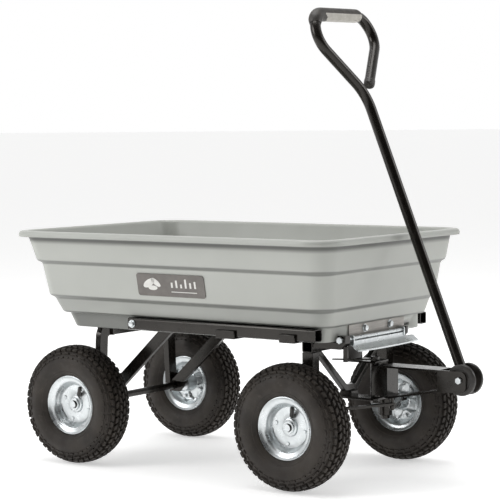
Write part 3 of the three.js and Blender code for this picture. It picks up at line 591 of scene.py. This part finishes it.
def makeBadge():
    length, height, thick = badgeShape["size"]
    bm = bmesh.new()
    bmesh.ops.create_grid(bm, x_segments=1, y_segments=1, size=0.5)
    bmesh.ops.scale(bm, vec=(length, height, 1), verts=bm.verts)
    roundedPlate(bm, badgeShape["corner"], 6)
    grown = bmesh.ops.extrude_face_region(bm, geom=list(bm.faces))["geom"]
    bmesh.ops.translate(bm, vec=(0, 0, thick), verts=vertsOf(grown))

    def mark(made):
        faces = list(dict.fromkeys(face for vert in made for face in vert.link_faces))
        for face in faces:
            face.material_index = 1
        lifted = bmesh.ops.extrude_face_region(bm, geom=faces)["geom"]
        bmesh.ops.translate(bm, vec=(0, 0, badgeShape["raise"]), verts=vertsOf(lifted))

    for x, y, halfLong, halfWide, turn in badgeShape["leaves"]:
        made = bmesh.ops.create_circle(bm, cap_ends=True, radius=1.0, segments=20)["verts"]
        bmesh.ops.scale(bm, vec=(halfLong, halfWide, 1), verts=made)
        spin = Matrix.Rotation(math.radians(turn), 3, "Z")
        bmesh.ops.rotate(bm, cent=(0, 0, 0), matrix=spin, verts=made)
        bmesh.ops.translate(bm, vec=(x, y, thick), verts=made)
        mark(made)
    foot, width = badgeShape["barFoot"], badgeShape["barWidth"]
    blocks = [(x, foot + tall / 2, width, tall) for x, tall in badgeShape["bars"]]
    for x, y, wide, tall in blocks + [badgeShape["rule"]]:
        made = bmesh.ops.create_grid(bm, x_segments=1, y_segments=1, size=0.5)["verts"]
        bmesh.ops.scale(bm, vec=(wide, tall, 1), verts=made)
        bmesh.ops.translate(bm, vec=(x, y, thick), verts=made)
        mark(made)
    bmesh.ops.recalc_face_normals(bm, faces=bm.faces)
    sections = tubShape["sections"]
    low, high = sections["lowStep"], sections["highLedge"]
    slope = math.atan2(high[3] - low[3], high[0] - low[0])
    place = middleOf("badge_plate")
    height = (low[0] + high[0]) / 2
    wallHalf = between(low, high, height)[3]
    onWall = Matrix.Translation((place.x, -(wallHalf + badgeShape["seat"]), height))
    turned = onWall @ Matrix.Rotation(math.pi / 2 + slope, 4, "X")
    bmesh.ops.transform(bm, matrix=turned, verts=bm.verts)
    piece = finishMesh("label_plate", bm, satins["badgeGround"], satins["badgeMark"])
    return standIn(piece, "tub", "badge_plastic", "badge_plate")


makeBadge()
print("label plate ready")

# Steel pieces: the plain shapes with rounded edges, and the width of each one's rounding.
steelPieces = {
    "tub_rail_left": 0.0022, "tub_rail_right": 0.0022,
    "tub_hinge_lug_left": 0.001, "tub_hinge_lug_right": 0.001,
    "mid_strap": 0.0012, "front_strap": 0.0012,
    "rear_leg": 0.002,
    "rear_axle": 0.001,
    "frame_tube_left": 0.001, "frame_tube_right": 0.001,
    "rear_diagonal_left": 0.0016, "rear_diagonal_right": 0.0016,
    "axle_bracket_left": 0.001, "axle_bracket_right": 0.001,
    "front_cross_member": 0.001,
    "brace_v": 0.0014,
    "steering_bolt": 0.0008,
    "lower_steering_plate": 0.0009,
    "upper_steering_bracket": 0.0009,
    "latch_bracket_left": 0.001, "latch_bracket_right": 0.001,
    "lock_pin_clip": 0.0,
    "front_leg_left": 0.0015, "front_leg_right": 0.0015,
    "tongue": 0.001,
    "knuckle_left": 0.001, "knuckle_right": 0.001,
    "tie_rod_left": 0.001, "tie_rod_right": 0.001,
}
for node, width in steelPieces.items():
    softened(node, bodyOf(node), "black_paint", paint, width)

# The turned ends of the axles are bare metal, this far in and this far out from the middle.
endShine = {"nodes": ("rear_axle", "knuckle_left", "knuckle_right"), "depth": 0.004, "beyond": 0.19}
for node in endShine["nodes"]:
    piece = bpy.data.objects[f"{node}_finished"]
    piece.data.materials.append(zinc)
    low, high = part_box(node)
    depth = endShine["depth"]
    for polygon in piece.data.polygons:
        nearEnd = polygon.center.y > high.y - depth or polygon.center.y < low.y + depth
        if nearEnd and abs(polygon.center.y) > endShine["beyond"]:
            polygon.material_index = 1

brightPieces = {
    "hinge_pin": 0.0008, "latch_pin": 0.0008, "handle_bolt": 0.0008,
    "axle_washer_rear_left": 0.0006, "axle_washer_rear_right": 0.0006,
    "axle_washer_front_left": 0.0006, "axle_washer_front_right": 0.0006,
}
for node, width in brightPieces.items():
    softened(node, bodyOf(node), "zinc", zinc, width)
softened("striker_plate", "tub", "zinc", steel, 0.0006)

leverShape = {"straightDepth": 0.007, "cornerShare": 0.42, "bow": 2.4, "stations": 31}


def makeLever():
    # The scoop's outer edge bows out toward the middle of its width.
    bm = bmesh.new()
    bm.from_mesh(frame["nodes"]["dump_lever"].data)
    bmesh.ops.remove_doubles(bm, verts=bm.verts, dist=0.00002)
    bmesh.ops.dissolve_limit(bm, angle_limit=math.radians(0.6), verts=bm.verts, edges=bm.edges)
    low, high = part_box("dump_lever")
    pinX = middleOf("latch_pin").x
    half = (high.y - low.y) / 2
    middle = (high.y + low.y) / 2
    for k in range(1, leverShape["stations"]):
        y = low.y + (high.y - low.y) * k / leverShape["stations"]
        everything = list(bm.verts) + list(bm.edges) + list(bm.faces)
        bmesh.ops.bisect_plane(bm, geom=everything, dist=0.00001, plane_co=(0, y, 0), plane_no=(0, 1, 0))
    limit = pinX + leverShape["straightDepth"]
    for vert in bm.verts:
        if vert.co.x > limit:
            away = min(abs(vert.co.y - middle) / half, 1.0)
            share = 1.0 - leverShape["cornerShare"] * away ** leverShape["bow"]
            vert.co.x = limit + (vert.co.x - limit) * share
    bmesh.ops.recalc_face_normals(bm, faces=bm.faces)
    piece = finishMesh("dump_lever_scoop", bm, zinc, sharpAngle=30)
    roundEdges(piece, 0.0005)
    return standIn(piece, "lever", "zinc", "dump_lever")


makeLever()
print("steel pieces ready")

# Hex bolts, each with a washer and a chamfered top.
boltShape = {
    "head": 0.0066,
    "headHeight": 0.0048,
    "washer": 0.0081,
    "washerThick": 0.0012,
    "chamfer": 0.14,
    "tubHead": 0.0068,
    "rimHead": 0.0058,
}


def addBolt(bm, foot, outward, head, turn):
    headHeight = boltShape["headHeight"] * head / boltShape["head"]
    washerRadius = boltShape["washer"] * head / boltShape["head"]
    washerThick = boltShape["washerThick"]
    aim = Vector((0, 0, 1)).rotation_difference(Vector(outward)).to_matrix().to_4x4()
    place = Matrix.Translation(foot) @ aim @ Matrix.Rotation(turn, 4, "Z")
    washer = roundBar(bm, 28, washerRadius, washerRadius, washerThick)
    bmesh.ops.translate(bm, vec=(0, 0, washerThick / 2), verts=washer)
    hexagon = roundBar(bm, 6, head, head, headHeight)
    bmesh.ops.translate(bm, vec=(0, 0, washerThick + headHeight / 2), verts=hexagon)
    nearTop = washerThick + headHeight * 0.9
    hexEdges = dict.fromkeys(edge for vert in hexagon for edge in vert.link_edges)
    topEdges = [edge for edge in hexEdges if all(vert.co.z > nearTop for vert in edge.verts)]
    bevelled = bmesh.ops.bevel(
        bm, geom=topEdges, offset=head * boltShape["chamfer"], segments=2, profile=0.5,
        affect="EDGES", material=-1,
    )["verts"]
    made = dict.fromkeys(vert for vert in washer + hexagon + bevelled if vert.is_valid)
    bmesh.ops.transform(bm, matrix=place, verts=list(made))


for label, side in sides.items():
    bm = bmesh.new()
    middle = middleOf(f"rail_bolt_{label}")
    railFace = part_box(f"tub_rail_{label}")[1 if side > 0 else 0].y
    foot = (middle.x, railFace + side * 0.0001, middle.z)
    addBolt(bm, foot, (0, side, 0), boltShape["tubHead"], 0.2)
    standIn(finishMesh(f"rail_bolt_{label}_hex", bm, zinc), "tub", "zinc", f"rail_bolt_{label}")
    bm = bmesh.new()
    middle = middleOf(f"striker_bolt_{label}")
    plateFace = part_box("striker_plate")[0].x + 0.003
    foot = (plateFace + 0.0001, middle.y, middle.z)
    addBolt(bm, foot, (1, 0, 0), boltShape["tubHead"], 0.35 * side)
    piece = finishMesh(f"striker_bolt_{label}_hex", bm, zinc)
    standIn(piece, "tub", "zinc", f"striker_bolt_{label}")
print("bolts ready")

# Handle: a round tube on a bent route, with its grip, end cap and yoke.
handleShape = {
    "pivot": (0.474, 0.0, 0.220),
    "lean": 21.9,
    "radius": 0.011,
    "gripRadius": 0.0143,
    "corners": [  # along, aside, bend radius
        (-0.010, 0.0, 0.0),
        (0.6176, 0.0, 0.085),
        (0.7376, -0.119, 0.048),
        (0.7926, -0.089, 0.032),
        (0.7966, 0.086, 0.038),
        (0.745, 0.117, 0.048),
        (0.6406, 0.026, 0.0),
    ],
    "gripShare": (0.683, 0.836),
    "gripEnds": [0.25, 0.55, 0.85, 1.0],  # how full the grip is, from its end inward
    # Where the painted reflection sits on the grip's lower side.
    "reflectionSide": {"facing": 0.22, "start": -0.066, "slant": 0.018, "square": 0.6},
    "capSteps": [  # distance past the tube's end, radius
        (-0.010, 0.0118), (-0.001, 0.0118), (0.0025, 0.0114), (0.0042, 0.0096), (0.0048, 0.0060),
    ],
}


def handlePoint(along, side):
    lean = math.radians(handleShape["lean"])
    x, y, z = handleShape["pivot"]
    return Vector((x - math.sin(lean) * along, y + side, z + math.cos(lean) * along))


def bentRoute(corners, degreesPerPoint=4.0):
    points = [handlePoint(corners[0][0], corners[0][1])]
    for before, here, after in zip(corners, corners[1:], corners[2:]):
        corner = handlePoint(here[0], here[1])
        inward = (corner - handlePoint(before[0], before[1])).normalized()
        outward = (handlePoint(after[0], after[1]) - corner).normalized()
        angle = inward.angle(outward)
        setback = here[2] * math.tan(angle / 2)
        start = corner - inward * setback
        centre = corner + (outward - inward).normalized() * here[2] / math.cos(angle / 2)
        axis = inward.cross(outward).normalized()
        pieces = max(3, round(math.degrees(angle) / degreesPerPoint))
        for k in range(pieces + 1):
            points.append(centre + Matrix.Rotation(angle * k / pieces, 3, axis) @ (start - centre))
    points.append(handlePoint(corners[-1][0], corners[-1][1]))
    return points


def stretchOf(points, low, high, spacing=0.004):
    lengths = [0.0]
    for a, b in zip(points, points[1:]):
        lengths.append(lengths[-1] + (b - a).length)
    total = lengths[-1]
    count = max(2, round((high - low) * total / spacing))
    picked = []
    for k in range(count + 1):
        target = (low + (high - low) * k / count) * total
        reached = (i for i, length in enumerate(lengths) if length >= target)
        index = max(1, next(reached, len(points) - 1))
        span = lengths[index] - lengths[index - 1]
        picked.append(points[index - 1].lerp(points[index], (target - lengths[index - 1]) / span))
    return picked


def tubeAlong(name, points, radii, resolution, *materials):
    curve = bpy.data.curves.new(name, "CURVE")
    curve.dimensions = "3D"
    curve.bevel_depth = 1.0
    curve.bevel_resolution = resolution
    curve.use_fill_caps = True
    spline = curve.splines.new("POLY")
    spline.points.add(len(points) - 1)
    for point, target, radius in zip(spline.points, points, radii):
        point.co = (*target, 1.0)
        point.radius = radius
    holder = bpy.data.objects.new(name, curve)
    bpy.context.scene.collection.objects.link(holder)
    drawn = evaluatedMesh(holder)
    bpy.data.objects.remove(holder)
    bm = bmesh.new()
    bm.from_mesh(drawn)
    bmesh.ops.remove_doubles(bm, verts=bm.verts, dist=0.000005)
    bmesh.ops.recalc_face_normals(bm, faces=bm.faces)
    return finishMesh(name, bm, *materials)


handleRoute = bentRoute(handleShape["corners"])
tubeRadii = [handleShape["radius"]] * len(handleRoute)
tube = tubeAlong("handle_tube_round", handleRoute, tubeRadii, 8, paint)
standIn(tube, "handle", "black_paint", "handle_tube")

gripRoute = stretchOf(handleRoute, *handleShape["gripShare"])
fullness = handleShape["gripEnds"]
sleeve = handleShape["gripRadius"] - handleShape["radius"]
gripRadii = []
for k in range(len(gripRoute)):
    fromEnd = min(k, len(gripRoute) - 1 - k, len(fullness) - 1)
    gripRadii.append(handleShape["radius"] + sleeve * fullness[fromEnd])
gripColors = satins["gripDark"], satins["gripPaintedReflection"]
grip = tubeAlong("handle_grip_soft", gripRoute, gripRadii, 10, *gripColors)
lean = math.radians(handleShape["lean"])
towardShaft = Vector((math.sin(lean), 0, -math.cos(lean)))
pale = handleShape["reflectionSide"]
# Painted reflection: grip faces turned down toward the shaft take the pale colour.
for polygon in grip.data.polygons:
    facing = polygon.normal.dot(towardShaft)
    reach = polygon.center.y - pale["start"] + pale["slant"] * (pale["square"] - facing)
    if facing > pale["facing"] and reach > 0.0:
        polygon.material_index = 1
standIn(grip, "handle", "grip_rubber", "handle_grip")

tip, before = handleRoute[-1], handleRoute[-2]
along = (tip - before).normalized()
capPoints = [tip + along * step for step, _ in handleShape["capSteps"]]
capRadii = [radius for _, radius in handleShape["capSteps"]]
cap = tubeAlong("handle_end_cap_round", capPoints, capRadii, 8, satins["blackPlastic"])
standIn(cap, "handle", "black_plastic", "handle_end_cap")
print("handle ready")

yokeShape = {
    "radius": 0.032,
    "bore": 0.0042,
    "inner": 0.0115,
    "outer": 0.0204,
    "groove": (0.0205, 0.0235, 0.0012),  # inner radius, outer radius, depth
    "web": (0.024, 0.025, 0.011),
    "webMiddle": (0.004, 0, -0.0215),
}


def makeYoke():
    inner, outer = yokeShape["inner"], yokeShape["outer"]
    grooveIn, grooveOut, grooveDeep = yokeShape["groove"]
    radius = yokeShape["radius"]
    profile = [
        (yokeShape["bore"], inner),
        (radius - 0.0015, inner),
        (radius, inner + 0.0015),
        (radius, outer - 0.003),
        (radius - 0.0012, outer - 0.001),
        (radius - 0.0035, outer - 0.0002),
        (grooveOut, outer),
        (grooveOut - 0.0006, outer - grooveDeep),
        (grooveIn, outer - grooveDeep),
        (grooveIn - 0.0008, outer - 0.0002),
        (0.012, outer),
        (yokeShape["bore"], outer),
    ]
    bm = lathe(profile, 64)
    everything = list(bm.verts) + list(bm.edges) + list(bm.faces)
    other = vertsOf(bmesh.ops.duplicate(bm, geom=everything)["geom"])
    halfTurn = Matrix.Rotation(math.pi, 3, "X")
    bmesh.ops.rotate(bm, cent=(0, 0, 0), matrix=halfTurn, verts=other)
    web = bmesh.ops.create_cube(bm, size=1.0)["verts"]
    bmesh.ops.scale(bm, vec=yokeShape["web"], verts=web)
    bmesh.ops.translate(bm, vec=yokeShape["webMiddle"], verts=web)
    bmesh.ops.translate(bm, vec=handleShape["pivot"], verts=bm.verts)
    piece = finishMesh("handle_yoke_round", bm, satins["blackPlastic"])
    return standIn(piece, "handle", "black_plastic", "handle_yoke")


makeYoke()
print("yoke ready")

# Tyres: a spun carcass; each tread block is inset twice and lifted out of it.
tyreShape = {
    "steps": 96,
    "profile": [  # radius and distance from the middle, in millimetres
        (122.9, 0.0), (122.5, 9.5), (120.3, 19.5), (116.0, 28.2), (108.6, 34.0), (101.0, 37.4),
        (96.5, 38.4), (92.0, 39.2), (85.0, 38.8), (78.0, 36.4), (74.6, 34.2), (73.6, 34.5),
        (72.2, 33.6), (68.5, 30.2), (65.4, 27.6), (64.5, 25.0), (64.5, 21.0),
    ],
    # Each row's low and high distance in millimetres, steps to a block, and shift.
    "rows": [(0.0, 9.5, 2, 0), (9.5, 19.5, 2, 1), (19.5, 28.2, 2, 0), (28.2, 34.6, 3, 1)],
    "blockHeight": 0.0062,
    "sideHeight": 0.0044,
    "gap": 0.0015,
    "shoulderGap": 0.0028,
    "ribs": {"low": 0.0995, "high": 0.1085, "gap": 0.0022, "taper": 0.0005, "lifts": (0.0016, 0.0028)},
    "taper": 0.0007,
    "treadFrom": 0.1,
    "chevron": {9.5: 2.6, 19.5: -0.8, 28.2: 0.8},  # degrees of lean at each distance
}


def insetBlock(bm, faces, thickness, depth=0.0):
    bmesh.ops.inset_region(
        bm, faces=faces, thickness=thickness, depth=depth, use_boundary=True, use_even_offset=True
    )


def makeTyreMesh():
    half = tyreShape["profile"]
    profile = half + [(radius, -out) for radius, out in reversed(half[1:])]
    steps = tyreShape["steps"]
    treadFrom = tyreShape["treadFrom"]
    ribs = tyreShape["ribs"]
    bm = lathe(millimetres(profile), steps)
    table = {}
    for face in bm.faces:
        middle = face.calc_center_median()
        radius = math.hypot(middle.x, middle.z)
        if radius > treadFrom:
            angle = math.atan2(middle.z, middle.x) % (2 * math.pi)
            table.setdefault((round(middle.y, 4), round(radius, 4)), []).append((angle, face))
    bands = {}
    for place, members in table.items():
        members.sort(key=lambda item: item[0])
        bands[place] = [face for _, face in members]
    # Lean the block ends so the rows read as a chevron.
    for vert in bm.verts:
        onTread = math.hypot(vert.co.x, vert.co.z) > treadFrom
        for out, degrees in tyreShape["chevron"].items():
            if onTread and abs(abs(vert.co.y) * 1000 - out) < 0.01:
                vert.co = Matrix.Rotation(math.radians(degrees), 3, "Y") @ vert.co
    for (out, radius), faces in bands.items():
        for low, high, count, shift in tyreShape["rows"]:
            if not low < abs(out) * 1000 < high:
                continue
            offset = shift if out > 0 else shift + 1
            shoulder = count > 2
            lift = tyreShape["sideHeight"] if shoulder else tyreShape["blockHeight"]
            gap = tyreShape["shoulderGap"] if shoulder else tyreShape["gap"]
            for k in range(steps // count):
                block = [faces[(count * k + j + offset) % steps] for j in range(count)]
                insetBlock(bm, block, gap)
                insetBlock(bm, block, tyreShape["taper"], lift)
        if ribs["low"] < radius < ribs["high"]:
            for k in range(0, steps, 2):
                rib = [faces[k], faces[k + 1]]
                insetBlock(bm, rib, ribs["gap"])
                insetBlock(bm, rib, ribs["taper"], ribs["lifts"][k // 2 % 2])
    return smoothMesh("tyreMaster", bm, 38)


# Rims: a deep dish outside, a pressed four-lobed disc inside.
rimShape = {
    "profile": [
        (8.2, 9.0), (15.6, 9.0), (17.4, 8.2), (18.2, 6.4), (18.6, 4.4), (21.0, 3.7), (30.0, 3.5),
        (37.5, 3.5), (41.2, 4.3), (43.4, 6.6), (44.4, 9.8), (45.6, 12.0), (47.4, 14.0), (48.4, 17.0),
        (49.4, 19.6), (51.6, 21.2), (54.2, 21.9), (57.2, 22.6), (59.8, 24.0), (61.8, 26.0),
        (63.0, 26.9), (63.8, 26.6), (64.0, 25.6), (63.4, 24.4), (60.4, 23.0), (53.6, 21.6),
        (52.0, 19.6), (52.0, -19.6), (53.6, -21.6), (60.4, -23.0), (63.4, -24.4), (64.0, -25.6),
        (63.8, -26.6), (63.0, -26.9), (61.8, -26.0), (59.8, -24.0), (57.2, -22.6), (54.2, -21.9),
        (51.6, -21.2), (49.4, -19.0), (48.6, -14.0), (47.4, -9.0), (45.8, -5.0), (43.4, -2.4),
        (41.0, -1.2), (38.5, -0.8), (36.0, -0.6), (33.5, -0.6), (31.0, -0.6), (28.5, -0.6),
        (26.0, -0.6), (23.5, -0.7), (21.0, -1.0), (18.8, -2.2), (17.8, -4.4), (17.4, -28.0),
        (16.0, -30.6), (8.2, -30.9),
    ],
    "steps": 96,
    "lobes": 4,
    "lobeHeight": 0.0052,
    "lobeTurn": 8.0,
    "lobeBand": (0.0205, 0.0415),
    "lobeStart": (0.0195, 0.004),  # where each lobe's inner and outer ends begin, and how far they run
    "lobeEnd": (0.0425, 0.003),
    "lobeHalfWidth": (15, 1250, 8),  # degrees at the inner end, degrees per metre outward, edge
    "boltRadius": 0.0345,
    "boltFace": -0.0057,
    "rivet": (0.0046, 0.0034, 0.0022, 0.0044),  # foot radius, top radius, height, distance out
}


def clamped(value):
    return min(max(value, 0.0), 1.0)


def makeRimMesh():
    bm = lathe(millimetres(rimShape["profile"]), rimShape["steps"])
    span = 2 * math.pi / rimShape["lobes"]
    start = math.radians(rimShape["lobeTurn"])
    inner, outer = rimShape["lobeBand"]
    startsAt, startRun = rimShape["lobeStart"]
    endsAt, endRun = rimShape["lobeEnd"]
    narrow, widening, edgeRun = rimShape["lobeHalfWidth"]
    for vert in bm.verts:
        radius = math.hypot(vert.co.x, vert.co.z)
        if not (inner < radius < outer and -0.002 < vert.co.y < 0.0):
            continue
        angle = (math.atan2(vert.co.z, vert.co.x) - start + span / 2) % span - span / 2
        halfWidth = math.radians(narrow + (radius - inner) * widening)
        edge = clamped((halfWidth - abs(angle)) / math.radians(edgeRun))
        ends = clamped((radius - startsAt) / startRun) * clamped((endsAt - radius) / endRun)
        vert.co.y -= rimShape["lobeHeight"] * edge * edge * (3 - 2 * edge) * ends
    foot, top, tall, out = rimShape["rivet"]
    outward = Matrix.Rotation(-math.pi / 2, 3, "X")
    for k in range(rimShape["lobes"]):
        angle = start + span * k
        across = Vector((math.cos(angle), 0, math.sin(angle))) * rimShape["boltRadius"]
        boltFoot = across + Vector((0, rimShape["boltFace"], 0))
        addBolt(bm, boltFoot, (0, -1, 0), boltShape["rimHead"], angle)
        rivet = roundBar(bm, 20, foot, top, tall)
        bmesh.ops.rotate(bm, cent=(0, 0, 0), matrix=outward, verts=rivet)
        bmesh.ops.translate(bm, vec=across + Vector((0, out, 0)), verts=rivet)
    return smoothMesh("rimMaster", bm, 34)


tyreMaster = makeTyreMesh()
rimMaster = makeRimMesh()


def placedCopy(name, master, matrix, material):
    mesh = master.copy()
    mesh.transform(matrix)
    mesh.materials.append(material)
    piece = bpy.data.objects.new(name, mesh)
    bpy.context.scene.collection.objects.link(piece)
    return piece


# Degrees that each wheel is turned at rest, which sets where its valve stands.
wheelTurns = {"rear_left": 31, "rear_right": 12, "front_left": 74, "front_right": 3}


# Distance from the hub's axis, distance outward, and stem radius.
valveShape = [
    (0.0248, 0.0035, 0.0052),
    (0.0248, 0.0072, 0.0050),
    (0.0252, 0.0096, 0.0048),
    (0.0264, 0.0110, 0.0046),
    (0.0300, 0.0124, 0.0044),
    (0.0372, 0.0149, 0.0041),
    (0.0373, 0.01495, 0.0046),
    (0.0440, 0.0172, 0.0045),
    (0.0450, 0.0176, 0.0036),
]


def makeValve(wheel, side, hub):
    # A rubber stem comes out of the disc, then leans along a spoke to its cap.
    low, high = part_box(f"valve_{wheel}")
    spoke = Vector(((low.x + high.x) / 2 - hub.x, 0, (low.z + high.z) / 2 - hub.z)).normalized()
    outward = Vector((0, side, 0))

    def at(radius, out):
        return hub + spoke * radius + outward * out

    points = [at(radius, out) for radius, out, _ in valveShape]
    radii = [thick for _, _, thick in valveShape]
    stem = tubeAlong(f"valve_{wheel}_stem", points, radii, 5, satins["blackPlastic"])
    return standIn(stem, f"wheel_{wheel}", "black_plastic", f"valve_{wheel}")


for wheel, degrees in wheelTurns.items():
    side = sides[wheel.split("_")[1]]
    hub = middleOf(f"tyre_{wheel}")
    facing = Matrix.Identity(4) if side > 0 else Matrix.Rotation(math.pi, 4, "X")
    turned = Matrix.Translation(hub) @ Matrix.Rotation(math.radians(degrees), 4, "Y") @ facing
    tyrePiece = placedCopy(f"tyre_{wheel}_treaded", tyreMaster, turned, rubber)
    standIn(tyrePiece, f"wheel_{wheel}", "tyre_rubber", f"tyre_{wheel}")
    rimPiece = placedCopy(f"rim_{wheel}_pressed", rimMaster, turned, zinc)
    standIn(rimPiece, f"wheel_{wheel}", "zinc", f"rim_{wheel}")
    makeValve(wheel, side, hub)
print("wheels ready")

# Floor, lights and camera.
setting = {
    "floorColor": (0.93, 0.93, 0.925),
    "floorGlow": 0.50,
    "floorSize": 900.0,
    "dome": [(0.0, 0.02), (0.22, 0.06), (0.42, 0.40), (0.60, 0.62), (0.90, 0.72), (0.96, 1.0)],
    "target": (-0.0531, 0.0, 0.4632),
    "camera": (2.2532, -3.2214, 0.7220),
    "roll": -0.49,
    "lens": 132.3,
    "lights": [  # name, position, size, power
        ("keyLight", (-2.4, -3.2, 2.3), 2.0, 62.0),
        ("fillLight", (3.2, 2.4, 2.1), 1.8, 30.0),
        ("topLight", (-0.3, -0.1, 3.4), 2.4, 62.0),
    ],
}


def studioWorld():
    # A soft dome: white ahead of the camera, dim behind it; the stops run from behind to ahead.
    world = bpy.data.worlds.new("studio")
    world.use_nodes = True
    tree = world.node_tree
    direction = tree.nodes.new("ShaderNodeTexCoord").outputs["Generated"]
    ahead = (Vector(setting["target"]) - Vector(setting["camera"])).normalized()
    toward = vectorStep(tree, "DOT_PRODUCT", direction, (ahead.x, ahead.y, 0.0))
    share = tree.nodes.new("ShaderNodeMapRange")
    share.inputs["From Min"].default_value = -1.0
    tree.links.new(toward, share.inputs["Value"])
    dome = ramp(tree, share.outputs["Result"], [(stop, grey(value)) for stop, value in setting["dome"]])
    tree.links.new(dome, tree.nodes["Background"].inputs["Color"])
    bpy.context.scene.world = world


def makeStudio():
    bm = bmesh.new()
    bmesh.ops.create_grid(bm, x_segments=1, y_segments=1, size=setting["floorSize"])
    material, tree, shader, place = shaderGroup("paleFloor")
    tone = setting["floorColor"]
    dimmer = tuple(channel * 0.985 for channel in tone)
    floorTone = ramp(tree, noise(tree, place, 3.0), [(0.3, dimmer), (0.7, tone)])
    tree.links.new(floorTone, shader.inputs["Base Color"])
    shader.inputs["Roughness"].default_value = 0.95
    shader.inputs["Specular IOR Level"].default_value = 0.2
    shader.inputs["Emission Color"].default_value = (1.0, 1.0, 1.0, 1.0)
    shader.inputs["Emission Strength"].default_value = setting["floorGlow"]
    finishMesh("studioFloor", bm, material)
    studioWorld()
    middle = Vector(setting["target"])
    for name, position, size, power in setting["lights"]:
        lamp = bpy.data.lights.new(name, "AREA")
        lamp.size = size
        lamp.energy = power
        holder = bpy.data.objects.new(name, lamp)
        holder.location = position
        holder.rotation_euler = (middle - Vector(position)).to_track_quat("-Z", "Y").to_euler()
        bpy.context.scene.collection.objects.link(holder)
    camera = bpy.data.cameras.new("studioCamera")
    camera.lens = setting["lens"]
    camera.sensor_width = 36.0
    camera.clip_end = 2000.0
    viewer = bpy.data.objects.new("studioCamera", camera)
    position = Vector(setting["camera"])
    look = (middle - position).to_track_quat("-Z", "Y").to_matrix().to_4x4()
    roll = Matrix.Rotation(math.radians(setting["roll"]), 4, "Z")
    viewer.matrix_world = Matrix.Translation(position) @ look @ roll
    bpy.context.scene.collection.objects.link(viewer)
    bpy.context.scene.camera = viewer
    bpy.context.scene.view_settings.view_transform = "Standard"


makeStudio()
print("studio ready")
